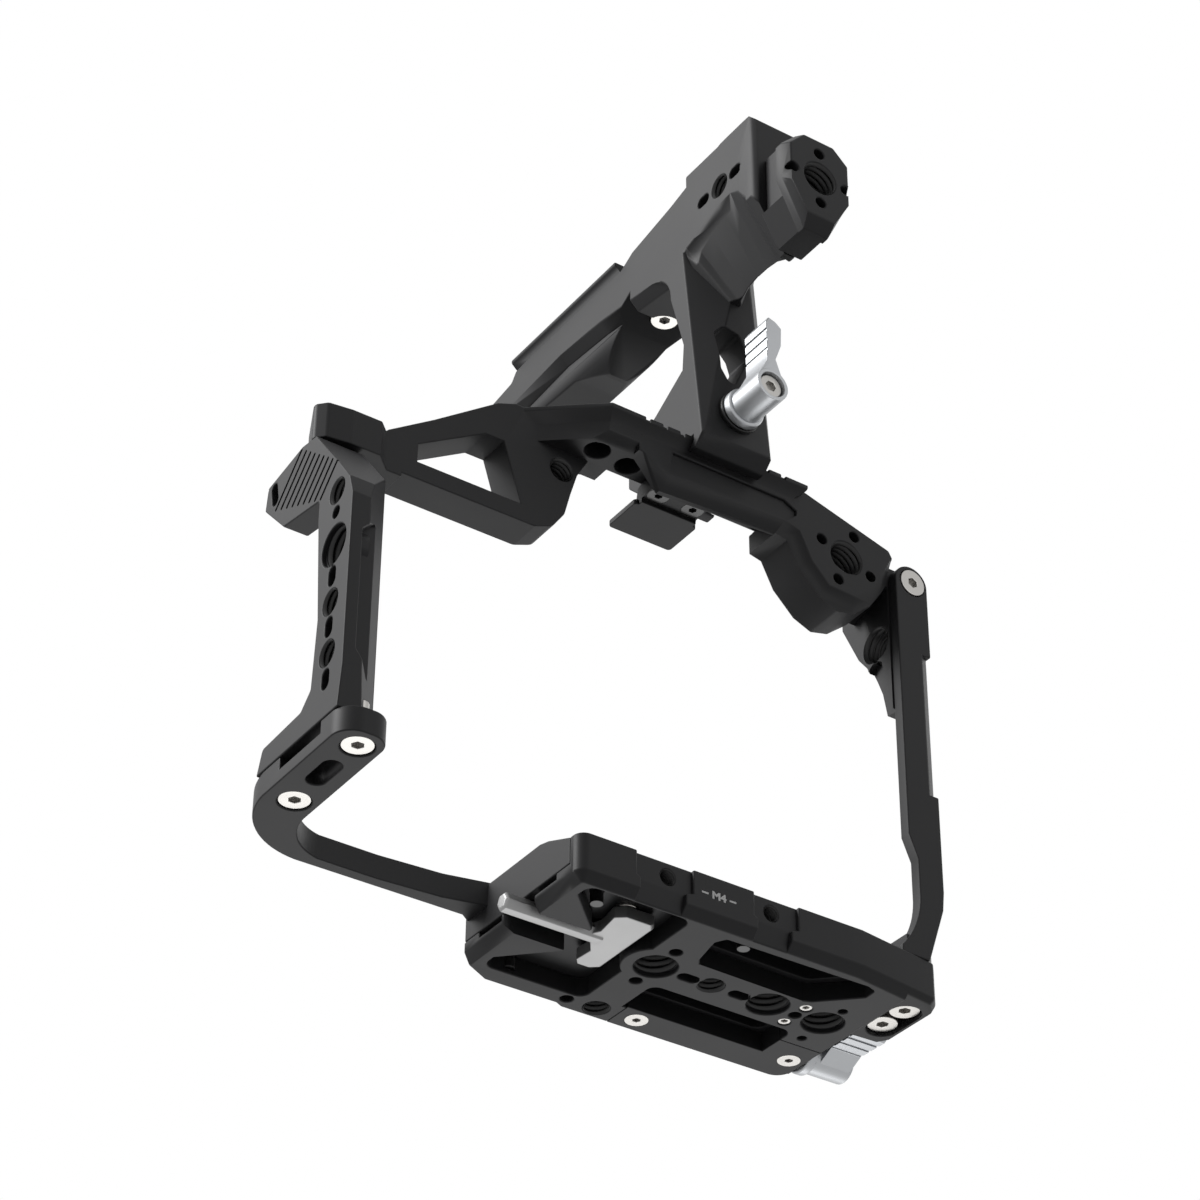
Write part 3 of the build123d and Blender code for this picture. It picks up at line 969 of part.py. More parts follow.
with BuildPart() as clamp_jaw:
    with BuildSketch(Plane.YZ.offset(HANDLE_L)):
        Polygon((7.5, 147.0), (7.5, 131.2), (5.3, 129.0), (5.8, 128.6), (8.4, 128.6), (JAW_BACK, 133.0),
                (JAW_BACK, 144.0), (10.0, 147.0), align=None)
    extrude(amount=HANDLE_R - HANDLE_L)
    with BuildSketch(Plane.XZ.offset(-7.5)):
        with Locations((CLAMP_X, CLAMP_Z)):
            Circle(STUD_R + RUNNING)
        with Locations(*CLAMP_PINS):
            Circle(1.5)
    extrude(amount=6.0, dir=(0, 1, 0), mode=Mode.SUBTRACT)
clamp_jaw.part.label = "clamp_jaw"
export_step(clamp_jaw.part.moved(TO_ORIGIN), "parts/clamp_jaw.step")

with BuildPart() as clamp_guide_pins:
    with BuildSketch(Plane.XZ.offset(-0.2)):
        with Locations(*CLAMP_PINS):
            Circle(1.5 - RUNNING)
    extrude(amount=7.3, dir=(0, 1, 0))
    with BuildSketch(Plane.XZ.offset(-7.5)):
        with Locations(*CLAMP_PINS):
            Circle(1.5)
    extrude(amount=5.0, dir=(0, 1, 0))
clamp_guide_pins.part.label = "clamp_guide_pins"
export_step(clamp_guide_pins.part.moved(TO_ORIGIN), "parts/clamp_guide_pins.step")

with BuildPart() as clamp_washer:
    with BuildSketch(Plane.XZ.offset(-LEG_FRONT_Y)):
        with Locations((CLAMP_X, CLAMP_Z)):
            Circle(5.6)
            Circle(STUD_R + 0.2, mode=Mode.SUBTRACT)
    extrude(amount=-WASHER_T, dir=(0, 1, 0))
clamp_washer.part.label = "clamp_washer"
export_step(clamp_washer.part.moved(TO_ORIGIN), "parts/clamp_washer.step")


def wing_lever(axis, reach):
    """Locking lever. axis starts at its foot: z runs to the free end, y along the wing.
    reach is the wing's length from the axis."""
    with BuildPart() as lever:
        with BuildSketch(axis):
            Circle(5.3)
        extrude(amount=2.6)
        chamfer(lever.edges().filter_by(GeomType.CIRCLE), 0.4)
        with BuildSketch(axis):
            Circle(4.5)
        extrude(amount=HUB_LEN)
        # wing: a neck that flares to a thumb pad
        with BuildSketch(axis.offset(3.8)) as wing:
            Polygon((-3.6, 2.4), (-1.1, 7.6), (-1.3, reach - 1.6), (-0.4, reach), (1.6, reach - 0.6),
                    (3.4, reach - 2.0), (3.2, 13.5),
                    (1.5, 8.6), (3.8, 2.0), align=None)
        extrude(amount=8.8)
        with BuildSketch(axis.offset(HUB_LEN)):
            Circle(3.5)
        extrude(amount=-2.6, mode=Mode.SUBTRACT)
        with BuildSketch(axis):
            Circle(STUD_R)
        extrude(amount=HUB_LEN - 2.6, mode=Mode.SUBTRACT)
        # grip grooves across the thumb pad
        for height in (reach - 4.0, reach - 7.0, reach - 10.0):
            with BuildSketch(axis.offset(2.0)):
                with Locations((-1.6, height)):
                    Rectangle(1.4, 0.9)
            extrude(amount=12.0, mode=Mode.SUBTRACT)
    return lever.part


LEVER_AXIS = Plane(origin=(CLAMP_X, LEG_FRONT_Y - WASHER_T, CLAMP_Z), x_dir=(1, 0, 0), z_dir=(0, -1, 0))
HUB_FLOOR = HUB_LEN - 2.6       # depth of the hub's screw seat above its foot

clamp_lever = wing_lever(LEVER_AXIS, 21.0)
clamp_lever.label = "clamp_lever"
export_step(clamp_lever.moved(TO_ORIGIN), "parts/clamp_lever.step")

with BuildPart() as clamp_stud:
    with BuildSketch(Plane.XZ.offset(-(LEVER_AXIS.origin.Y - HUB_FLOOR + 0.4))):
        with Locations((CLAMP_X, CLAMP_Z)):
            Circle(STUD_R)
    extrude(amount=11.5 - (LEVER_AXIS.origin.Y - HUB_FLOOR + 0.4), dir=(0, 1, 0))
clamp_stud.part.label = "clamp_stud"
export_step(clamp_stud.part.moved(TO_ORIGIN), "parts/clamp_stud.step")

with BuildPart() as clamp_lever_screw:
    with BuildSketch(LEVER_AXIS.offset(HUB_FLOOR)):
        with Locations((0, 0)):
            Circle(3.3)
    extrude(amount=1.7)
    chamfer(clamp_lever_screw.edges().filter_by(GeomType.CIRCLE).sort_by(Axis.Y)[0], 0.4)
    with BuildSketch(LEVER_AXIS.offset(HUB_FLOOR + 1.7)):
        RegularPolygon(1.5, 6)
    extrude(amount=-1.2, mode=Mode.SUBTRACT)
clamp_lever_screw.part.label = "clamp_lever_screw"
export_step(clamp_lever_screw.part.moved(TO_ORIGIN), "parts/clamp_lever_screw.step")

with BuildPart() as clamp_spring:
    with BuildSketch(Plane.XZ.offset(-1.3)):
        with Locations((CLAMP_X, CLAMP_Z)):
            Circle(4.3)
            Circle(3.4, mode=Mode.SUBTRACT)
    extrude(amount=6.1, dir=(0, 1, 0))
clamp_spring.part.label = "clamp_spring"
export_step(clamp_spring.part.moved(TO_ORIGIN), "parts/clamp_spring.step")

# ---------------------------------------------------------------- cable clamp
BRACKET_T = 1.7
BRACKET_X = BASE_RIGHT + 0.1
SIDE_AXIS = Plane(origin=(BRACKET_X + BRACKET_T + 0.1, STUD_Y, STUD_Z), x_dir=(0, 0, 1), z_dir=(1, 0, 0))
SIDE_STUD_R = 2.0

side_lever = wing_lever(SIDE_AXIS, 18.3)
side_lever.label = "side_lever"
export_step(side_lever.moved(TO_ORIGIN), "parts/side_lever.step")

with BuildPart() as side_lever_stud:
    with BuildSketch(SIDE_AXIS):
        Circle(STUD_R)
    extrude(amount=HUB_FLOOR - 0.4)
    with BuildSketch(SIDE_AXIS):
        Circle(SIDE_STUD_R - RUNNING)
    extrude(amount=-14.0)
side_lever_stud.part.label = "side_lever_stud"
export_step(side_lever_stud.part.moved(TO_ORIGIN), "parts/side_lever_stud.step")

with BuildPart() as side_lever_screw:
    with BuildSketch(SIDE_AXIS.offset(HUB_FLOOR)):
        Circle(3.3)
    extrude(amount=1.7)
    chamfer(side_lever_screw.edges().filter_by(GeomType.CIRCLE).sort_by(Axis.X)[-1], 0.4)
    with BuildSketch(SIDE_AXIS.offset(HUB_FLOOR + 1.7)):
        RegularPolygon(1.5, 6)
    extrude(amount=-1.2, mode=Mode.SUBTRACT)
side_lever_screw.part.label = "side_lever_screw"
export_step(side_lever_screw.part.moved(TO_ORIGIN), "parts/side_lever_screw.step")

# plate with a forked foot: it lifts off the stud once the lever is loose
with BuildPart() as cable_clamp:
    with BuildSketch(Plane.YZ.offset(BRACKET_X)) as clamp_face:
        with BuildLine():
            Polyline((27.6, 1.4), (STUD_Y - 2.4, 1.4), (STUD_Y - 2.4, STUD_Z))
            ThreePointArc((STUD_Y - 2.4, STUD_Z), (STUD_Y, STUD_Z + 2.4), (STUD_Y + 2.4, STUD_Z))
            Polyline((STUD_Y + 2.4, STUD_Z), (STUD_Y + 2.4, 1.4), (36.6, 1.4), (37.2, 3.0), (37.2, 17.0),
                     (32.4, 17.0))
            ThreePointArc((32.4, 17.0), (30.2, 19.2), (32.4, 21.4))
            Polyline((32.4, 21.4), (37.2, 21.4), (37.2, 25.0), (33.4, 25.0))
            ThreePointArc((33.4, 25.0), (31.8, 26.6), (33.4, 28.2))
            Polyline((33.4, 28.2), (37.2, 28.2), (37.2, 31.4), (35.6, 33.0), (27.0, 33.0), (25.4, 31.4),
                     (25.4, 8.0), (27.6, 1.4))
        make_face()
    extrude(amount=BRACKET_T)
cable_clamp.part.label = "cable_clamp"
export_step(cable_clamp.part.moved(TO_ORIGIN), "parts/cable_clamp.step")
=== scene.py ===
"""Looks of the camera cage: anodised frame, silver levers, screws, threads and studio."""

import json
import math

import bmesh
import bpy
from mathutils import Matrix, Vector
from mathutils.kdtree import KDTree


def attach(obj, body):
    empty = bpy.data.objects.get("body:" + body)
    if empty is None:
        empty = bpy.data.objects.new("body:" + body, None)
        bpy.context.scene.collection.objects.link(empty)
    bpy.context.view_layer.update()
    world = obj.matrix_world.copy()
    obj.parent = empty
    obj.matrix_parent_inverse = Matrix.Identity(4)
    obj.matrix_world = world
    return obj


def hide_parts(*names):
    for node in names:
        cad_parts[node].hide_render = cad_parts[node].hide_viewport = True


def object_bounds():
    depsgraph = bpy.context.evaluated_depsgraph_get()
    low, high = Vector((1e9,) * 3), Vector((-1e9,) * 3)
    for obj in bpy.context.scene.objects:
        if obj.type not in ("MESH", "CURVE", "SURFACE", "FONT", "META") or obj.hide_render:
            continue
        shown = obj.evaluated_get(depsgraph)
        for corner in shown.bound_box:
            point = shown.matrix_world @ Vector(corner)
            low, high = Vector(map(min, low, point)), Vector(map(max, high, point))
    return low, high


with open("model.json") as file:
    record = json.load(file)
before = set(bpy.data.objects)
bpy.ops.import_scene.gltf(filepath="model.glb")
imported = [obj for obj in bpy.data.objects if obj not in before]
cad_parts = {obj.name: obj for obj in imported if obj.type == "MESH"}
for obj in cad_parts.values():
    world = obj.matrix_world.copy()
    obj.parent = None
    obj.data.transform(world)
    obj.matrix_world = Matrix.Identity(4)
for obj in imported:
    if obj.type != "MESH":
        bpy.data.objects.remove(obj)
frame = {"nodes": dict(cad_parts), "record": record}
CAD_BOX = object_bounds()
MM = 0.001

# Places in this file are the drawing's millimetres. The frame's zero is the tripod hole, which in the
# drawing lies here.
TRIPOD_HOLE = Vector((-3.8, 9.4, 0.0))


def at(x, y, z):
    """A point of the drawing, in the frame's metres."""
    return (Vector((x, y, z)) - TRIPOD_HOLE) * MM


# ---------------------------------------------------------------- shared surface effects
def effect_group(name, inputs, outputs):
    """An empty node group with named sockets: each is (name, type, default)."""
    group = bpy.data.node_groups.new(name, "ShaderNodeTree")
    for label, kind, default in inputs:
        socket = group.interface.new_socket(label, in_out="INPUT", socket_type=kind)
        socket.default_value = default
    for label, kind in outputs:
        group.interface.new_socket(label, in_out="OUTPUT", socket_type=kind)
    start = group.nodes.new("NodeGroupInput")
    end = group.nodes.new("NodeGroupOutput")
    return group, start, end


def noise(tree, scale, detail, vector, roughness=0.5):
    """A noise texture over the object's own coordinates."""
    node = tree.nodes.new("ShaderNodeTexNoise")
    node.inputs["Scale"].default_value = scale
    node.inputs["Detail"].default_value = detail
    node.inputs["Roughness"].default_value = roughness
    tree.links.new(vector, node.inputs["Vector"])
    return node


def math_node(tree, operation, a, b):
    """a and b are numbers or sockets."""
    node = tree.nodes.new("ShaderNodeMath")
    node.operation = operation
    for socket, value in zip(node.inputs, (a, b)):
        if isinstance(value, (int, float)):
            socket.default_value = value
        else:
            tree.links.new(value, socket)
    return node.outputs[0]


def bead_blast():
    """Fine blasted skin: a height for the bump, and roughness that drifts a little."""
    group, start, end = effect_group(
        "bead_blast",
        [("Grain", "NodeSocketFloat", 5200.0), ("Roughness", "NodeSocketFloat", 0.45),
         ("Drift", "NodeSocketFloat", 0.06)],
        [("Height", "NodeSocketFloat"), ("Roughness", "NodeSocketFloat")])
    place = group.nodes.new("ShaderNodeTexCoord").outputs["Object"]
    grain = noise(group, 1.0, 2.0, place)
    group.links.new(start.outputs["Grain"], grain.inputs["Scale"])
    cloud = noise(group, 60.0, 3.0, place)
    swing = math_node(group, "SUBTRACT", cloud.outputs["Fac"], 0.5)
    swing = math_node(group, "MULTIPLY", swing, start.outputs["Drift"])
    rough = math_node(group, "ADD", swing, start.outputs["Roughness"])
    group.links.new(grain.outputs["Fac"], end.inputs["Height"])
    group.links.new(rough, end.inputs["Roughness"])
    return group


def dye_cloud():
    """Colour that varies a little over the surface, between two given tones."""
    group, start, end = effect_group(
        "dye_cloud",
        [("Tone", "NodeSocketColor", (0.02, 0.02, 0.02, 1.0)),
         ("Second Tone", "NodeSocketColor", (0.03, 0.03, 0.03, 1.0)),
         ("Scale", "NodeSocketFloat", 45.0)],
        [("Color", "NodeSocketColor")])
    place = group.nodes.new("ShaderNodeTexCoord").outputs["Object"]
    cloud = noise(group, 1.0, 4.0, place, roughness=0.6)
    group.links.new(start.outputs["Scale"], cloud.inputs["Scale"])
    mix = group.nodes.new("ShaderNodeMix")
    mix.data_type = "RGBA"
    group.links.new(cloud.outputs["Fac"], mix.inputs["Factor"])
    group.links.new(start.outputs["Tone"], mix.inputs["A"])
    group.links.new(start.outputs["Second Tone"], mix.inputs["B"])
    group.links.new(mix.outputs["Result"], end.inputs["Color"])
    return group


def fine_ribs():
    """Straight ribs across one axis, as a height from 0 to 1."""
    group, start, end = effect_group(
        "fine_ribs", [("Pitch", "NodeSocketFloat", 0.001)], [("Height", "NodeSocketFloat")])
    place = group.nodes.new("ShaderNodeTexCoord").outputs["Object"]
    split = group.nodes.new("ShaderNodeSeparateXYZ")
    group.links.new(place, split.inputs[0])
    phase = math_node(group, "DIVIDE", split.outputs["X"], start.outputs["Pitch"])
    rib = math_node(group, "PINGPONG", phase, 0.5)
    group.links.new(math_node(group, "MULTIPLY", rib, 2.0), end.inputs["Height"])
    return group


BEAD_BLAST = bead_blast()
DYE_CLOUD = dye_cloud()
FINE_RIBS = fine_ribs()


# ---------------------------------------------------------------- finishes
BLAST_DEPTH = 0.02 * MM


def finish(name, tone, second_tone, roughness, metallic=0.0, specular=0.5, grain=5200.0, bump=0.15,
           drift=0.06):
    """A material whose colour, roughness and bump come from the shared effects."""
    material = bpy.data.materials.new(name)
    material.use_nodes = True
    tree = material.node_tree
    shader = tree.nodes["Principled BSDF"]
    shader.inputs["Metallic"].default_value = metallic
    shader.inputs["Specular IOR Level"].default_value = specular
    dye = tree.nodes.new("ShaderNodeGroup")
    dye.node_tree = DYE_CLOUD
    dye.inputs["Tone"].default_value = (*tone, 1.0)
    dye.inputs["Second Tone"].default_value = (*second_tone, 1.0)
    tree.links.new(dye.outputs["Color"], shader.inputs["Base Color"])
    skin = tree.nodes.new("ShaderNodeGroup")
    skin.node_tree = BEAD_BLAST
    skin.inputs["Grain"].default_value = grain
    skin.inputs["Roughness"].default_value = roughness
    skin.inputs["Drift"].default_value = drift
    tree.links.new(skin.outputs["Roughness"], shader.inputs["Roughness"])
    relief = tree.nodes.new("ShaderNodeBump")
    relief.inputs["Strength"].default_value = bump
    relief.inputs["Distance"].default_value = BLAST_DEPTH
    tree.links.new(skin.outputs["Height"], relief.inputs["Height"])
    tree.links.new(relief.outputs["Normal"], shader.inputs["Normal"])
    return material


def grey(value):
    """A tone without colour."""
    return (value, value, value)


anodised = finish("black_anodised", (0.0175, 0.0175, 0.0185), (0.0225, 0.0225, 0.0235), 0.50,
                  specular=0.17, drift=0.05)
# painted highlight: the bevels of the black parts get a lighter copy of the anodising, standing in for the
# light their edges catch
anodised_painted_highlight = finish("black_anodised_painted_highlight", grey(0.044), grey(0.060), 0.40, specular=0.5)
silver = finish("silver_anodised", (0.36, 0.37, 0.385), (0.42, 0.43, 0.44), 0.44, metallic=0.85, bump=0.1)
key_steel = finish("key_steel", grey(0.235), grey(0.285), 0.46, metallic=0.85, bump=0.1)
# painted highlight: a lighter, glossier copy of the silver for the bevels of the levers and the key
silver_painted_highlight = finish("silver_anodised_painted_highlight", grey(0.58), grey(0.64), 0.34, metallic=0.9, bump=0.05)
stainless = finish("stainless", (0.36, 0.35, 0.335), (0.44, 0.43, 0.41), 0.34, metallic=0.95, bump=0.08)
# painted highlight: a lighter copy of the stainless for the bevels of the screws and pins
stainless_painted_highlight = finish("stainless_painted_highlight", grey(0.58), grey(0.62), 0.28, metallic=0.95, bump=0.04)
black_steel = finish("black_steel", grey(0.018), grey(0.028), 0.36, metallic=0.3, specular=0.5)
nickel = finish("nickel", (0.66, 0.64, 0.60), (0.72, 0.70, 0.67), 0.14, metallic=1.0, bump=0.03)
# painted shade: the threads are darker than the black faces around them, standing in for the shade deep in
# the holes
thread_painted_shade = finish("thread_painted_shade", grey(0.009), grey(0.016), 0.42, specular=0.34, drift=0.1)
rubber = finish("pad_rubber", grey(0.020), grey(0.028), 0.78, specular=0.3, grain=2600.0, bump=0.4)
mark_white = finish("mark_white", grey(0.92), grey(0.96), 0.6, specular=0.3)

# the ribs of the pad's tread take the place of its grain
TREAD_PITCH, TREAD_DEPTH = 1.4 * MM, 0.25 * MM
tread = rubber.node_tree.nodes.new("ShaderNodeGroup")
tread.node_tree = FINE_RIBS
tread.inputs["Pitch"].default_value = TREAD_PITCH
tread_bump = rubber.node_tree.nodes["Bump"]
tread_bump.inputs["Distance"].default_value = TREAD_DEPTH
rubber.node_tree.links.new(tread.outputs["Height"], tread_bump.inputs["Height"])


# ---------------------------------------------------------------- machined pieces
BODY_OF = {node: body for body, nodes in frame["record"]["behaviour"]["bodies"].items() for node in nodes}

CORNER = math.radians(28.0)     # an edge turned by more than this is a corner, and is broken
CREASE = math.radians(50.0)     # an edge turned by more than this stays hard in the shading
FLAT = math.radians(0.8)        # neighbouring facets turned by less than this lie in one face
WELD = 0.002 * MM               # points nearer than this are one
ROOM = 2.2                      # a corner is broken where its faces go back this many bevel widths
FOLD_REACH = 1.5                # and left sharp within this many bevel widths of a fold
SLIVER = 0.04 * MM * MM         # facets smaller than this, as twice their area, aren't tested for folds
TURNED_OVER = 0.3               # cosine below which a facet has turned away from its face


def turned(edge):
    """The angle between an edge's two faces, or 0 where it hasn't two."""
    return edge.calc_face_angle() if len(edge.link_faces) == 2 else 0.0


def reach(face, edge):
    """How far a face goes back from one of its edges."""
    start = edge.verts[0].co
    along = (edge.verts[1].co - start).normalized()
    return max((corner.co - start).cross(along).length for corner in face.verts)


def folded(shape):
    """The corners of the facets that a bevel has folded over."""
    found = []
    for face in shape.faces:
        face.normal_update()
    for facet in shape.calc_loop_triangles():
        a, b, c = (loop.vert.co.copy() for loop in facet)
        across = (b - a).cross(c - a)
        if across.length > SLIVER and across.normalized().dot(facet[0].face.normal) < TURNED_OVER:
            found += [a, b, c]
    return found


def broken_corners(skin, edge):
    """A copy of a shape with its outer corners bevelled, but left sharp where the bevel would fold over."""
    width = edge * MM
    corners = {line.index for line in skin.edges if turned(line) > CORNER and line.is_convex
               and min(reach(face, line) for face in line.link_faces) > ROOM * width}
    while True:
        shape = skin.copy()
        shape.edges.ensure_lookup_table()
        bmesh.ops.bevel(shape, geom=[shape.edges[i] for i in corners], offset=width, offset_type="OFFSET",
                        segments=2, profile=0.5, affect="EDGES", clamp_overlap=False, loop_slide=False,
                        material=1)
        bad = folded(shape)
        tree = KDTree(len(bad))
        for i, point in enumerate(bad):
            tree.insert(point, i)
        tree.balance()
        too_tight = {i for i in corners if bad and any(tree.find(end.co)[2] < FOLD_REACH * width
                                                       for end in skin.edges[i].verts)}
        if not too_tight:
            return shape
        corners -= too_tight
        shape.free()


def machined(node, face_finish, bevel_highlight_coat, edge):
    """The CAD node's own shape, with its outer corners broken by a bevel edge mm wide; the bevel faces take
    the second material, which for most pieces is a lighter copy that paints a highlight on the edges.
    """
    mesh = frame["nodes"][node].data.copy()
    mesh.name = node + "_skin"
    skin = bmesh.new()
    skin.from_mesh(mesh)
    bmesh.ops.remove_doubles(skin, verts=skin.verts, dist=WELD)
    bmesh.ops.dissolve_limit(skin, angle_limit=FLAT, verts=skin.verts, edges=skin.edges)
    for face in skin.faces:
        face.material_index = 0
    skin.edges.index_update()
    skin.edges.ensure_lookup_table()
    shape = broken_corners(skin, edge)
    skin.free()
    for face in shape.faces:
        face.smooth = True
    for line in shape.edges:
        line.smooth = turned(line) < CREASE
    shape.to_mesh(mesh)
    shape.free()
    mesh.materials.clear()
    # the second slot paints a highlight on the bevel faces
    mesh.materials.append(face_finish)
    mesh.materials.append(bevel_highlight_coat)
    piece = bpy.data.objects.new(node + "_finished", mesh)
    bpy.context.scene.collection.objects.link(piece)
    even = piece.modifiers.new("flat_faces_stay_flat", "WEIGHTED_NORMAL")
    even.keep_sharp = True
    even.weight = 80
    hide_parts(node)
    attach(piece, BODY_OF[node])


def finished_piece(name, shape, coat):
    """An object made from a bmesh, which is used up, in one finish."""
    mesh = bpy.data.meshes.new(name)
    shape.to_mesh(mesh)
    shape.free()
    mesh.materials.clear()
    mesh.materials.append(coat)
    piece = bpy.data.objects.new(name, mesh)
    bpy.context.scene.collection.objects.link(piece)
    return piece


# width of each bevel
BLACK_PARTS = {
    "base_plate": 0.35, "rear_strip": 0.2, "cage_frame": 0.35, "side_bar": 0.35, "grip_plate": 0.35,
    "top_frame": 0.35, "hot_shoe_foot": 0.2, "cable_clamp": 0.2, "handle_body": 0.4, "front_block": 0.4,
    "clamp_jaw": 0.3,
}
for node, edge in BLACK_PARTS.items():
    machined(node, anodised, anodised_painted_highlight, edge)
for node in ("clamp_lever", "side_lever"):
    machined(node, silver, silver_painted_highlight, 0.22)
machined("hex_key", key_steel, silver_painted_highlight, 0.22)
for node in ("rear_strip_screws", "base_set_screws", "side_bar_foot_screws", "side_bar_top_screw",
             "grip_arm_screws", "handle_screw", "clamp_lever_screw", "side_lever_screw", "clamp_guide_pins",
             "clamp_stud", "side_lever_stud", "camera_screw"):
    machined(node, stainless, stainless_painted_highlight, 0.15)
for node in ("platform_screws", "hot_shoe_screws", "grip_top_screws", "front_block_screw", "screw_retainer",
             "clamp_washer"):
    machined(node, black_steel, anodised_painted_highlight, 0.12)
machined("platform_pad", rubber, rubber, 0.2)
machined("key_magnets", nickel, nickel, 0.15)


# ---------------------------------------------------------------- threads
TURN_STEPS = 28                 # straight pieces in one turn of a thread
LEAD_IN, LEAD_OUT = 0.6, 0.4    # turns over which the ridge rises at the mouth and dies away inside
RIDGE_TOP = 0.07                # half the flat on top of the ridge, as a share of the pitch


def thread_turns(shape, mouth, axis, length, major, minor, pitch):
    """Adds a helical thread to the mesh: from the mouth it runs against axis for length."""
    axis = Vector(axis).normalized()
    side = axis.orthogonal().normalized()
    other = axis.cross(side)
    total = int(length / pitch * TURN_STEPS)
    rows = []
    for i in range(total + 1):
        turn = 2.0 * math.pi * i / TURN_STEPS
        fade = min(1.0, i / (TURN_STEPS * LEAD_IN), (total - i) / (TURN_STEPS * LEAD_OUT))
        top = major + (minor - major) * fade
        out = side * math.cos(turn) + other * math.sin(turn)
        depth = length * i / total
        row = []
        for shift, radius in ((-0.5, major), (-RIDGE_TOP, top), (RIDGE_TOP, top), (0.5, major)):
            along = min(max(depth + shift * pitch, 0.0), length)
            row.append(shape.verts.new(mouth + (out * radius - axis * along) * MM))
        rows.append(row)
    for low, high in zip(rows, rows[1:]):
        for k in range(3):
            shape.faces.new((low[k], high[k], high[k + 1], low[k + 1]))


def threaded_piece(name, node, holes):
    """One piece with the threads of several holes: each is (mouth, axis, length, major, minor, pitch)."""
    shape = bmesh.new()
    for hole in holes:
        thread_turns(shape, *hole)
    for face in shape.faces:
        face.smooth = True
    # in the darkened thread material, which paints the shade of the holes
    piece = finished_piece(name, shape, thread_painted_shade)
    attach(piece, BODY_OF[node])


# major and minor radius, and pitch
QUARTER = (3.16, 2.62, 1.27)
THREE_EIGHTHS = (4.75, 4.05, 1.5875)
M4 = (1.98, 1.65, 0.7)

DOWN, FRONT, LEFT = (0, 0, -1), (0, -1, 0), (-1, 0, 0)

# the underside: a row of three large holes in shallow sinks, the tripod hole, and one near the rear edge
ROW_Y, ROW_SINK = 9.4, 1.2
ROW_HOLES = ((-19.0, 9.1), (12.0, 9.1), (27.7, 10.1))           # x and length
REAR_HOLE = (-19.0, 33.1)
UNDER_QUARTER = 9.3                                             # length of the two small ones
# the front wall: a pair, whose threads start a little inside the wall's face
WALL_FACE_Y, WALL_LEAD = -14.6, 1.0
WALL_HOLES_X, WALL_HOLES_Z, WALL_HOLE = (-31.8, -3.8), 7.9, 8.0
# the grip's outer side: three small holes, and a large one in a sink
GRIP_FACE_X, GRIP_SINK_X, GRIP_Y = -120.0, -118.8, -14.6
GRIP_QUARTERS = ((74.9, 7.5), (45.4, 7.5), (32.2, 6.5))         # z and length
GRIP_EIGHTH_Z, GRIP_EIGHTH = 60.4, 5.1

base_holes = [(at(x, ROW_Y, ROW_SINK), DOWN, length, *THREE_EIGHTHS) for x, length in ROW_HOLES]
base_holes += [(at(x, y, 0.0), DOWN, UNDER_QUARTER, *QUARTER) for x, y in (TRIPOD_HOLE.xy, REAR_HOLE)]
base_holes += [(at(x, WALL_FACE_Y + WALL_LEAD, WALL_HOLES_Z), FRONT, WALL_HOLE, *M4) for x in WALL_HOLES_X]
threaded_piece("base_threads", "base_plate", base_holes)
grip_holes = [(at(GRIP_FACE_X, GRIP_Y, z), LEFT, length, *QUARTER) for z, length in GRIP_QUARTERS]
grip_holes += [(at(GRIP_SINK_X, GRIP_Y, GRIP_EIGHTH_Z), LEFT, GRIP_EIGHTH, *THREE_EIGHTHS)]
threaded_piece("grip_threads", "grip_plate", grip_holes)
ring_hole = (at(23.5, -11.5, 117.5), FRONT, 11.0, *THREE_EIGHTHS)
leg_hole = (at(38.0, -3.4, 101.6), LEFT, 9.0, *THREE_EIGHTHS)
web_hole = (at(-52.8, -0.5, 118.5), FRONT, 7.0, *QUARTER)
threaded_piece("top_frame_threads", "top_frame", [ring_hole, leg_hole, web_hole])
nose_side_hole = (at(-24.3, -26.4, 203.4), LEFT, 8.0, *QUARTER)
threaded_piece("handle_threads", "handle_body", [nose_side_hole])
block_hole = (at(-14.05, -54.0, 190.8), FRONT, 7.0, *THREE_EIGHTHS)
threaded_piece("front_block_threads", "front_block", [block_hole])


# ---------------------------------------------------------------- side walls that two holes lack
def hole_wall(name, node, middle, axis, radius, length):
    """A plain sleeve round a hole."""
    shape = bmesh.new()
    bmesh.ops.create_cone(shape, segments=64, radius1=radius * MM, radius2=radius * MM, depth=length * MM)
    turn = Vector((0.0, 0.0, 1.0)).rotation_difference(Vector(axis)).to_matrix()
    bmesh.ops.rotate(shape, verts=shape.verts, matrix=turn)
    bmesh.ops.translate(shape, verts=shape.verts, vec=middle)
    wall = finished_piece(name, shape, anodised)
    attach(wall, BODY_OF[node])


# In the solids these two holes break out sideways, one through the platform's rear face and one into
# the scoop on the front of the grip. The sleeves close them in the look alone.
hole_wall("rear_hole_wall", "cage_frame", at(*REAR_HOLE, 4.7), DOWN, 3.17, 9.0)
hole_wall("grip_hole_wall", "grip_plate", at(-116.25, GRIP_Y, GRIP_EIGHTH_Z), LEFT, 4.77, 5.0)


# ---------------------------------------------------------------- thread size on the front wall
MARK_HEIGHT, MARK_PROUD = 1.75, 0.03
CAP_SHARE = 0.70        # height of a capital, as a share of the letter size
BOLD, WIDEN = 0.11, 1.2
# each dash begins and ends this much further out than one letter height from the middle
DASH_FROM, DASH_TO, DASH_HALF = 1.1, 2.9, 0.24


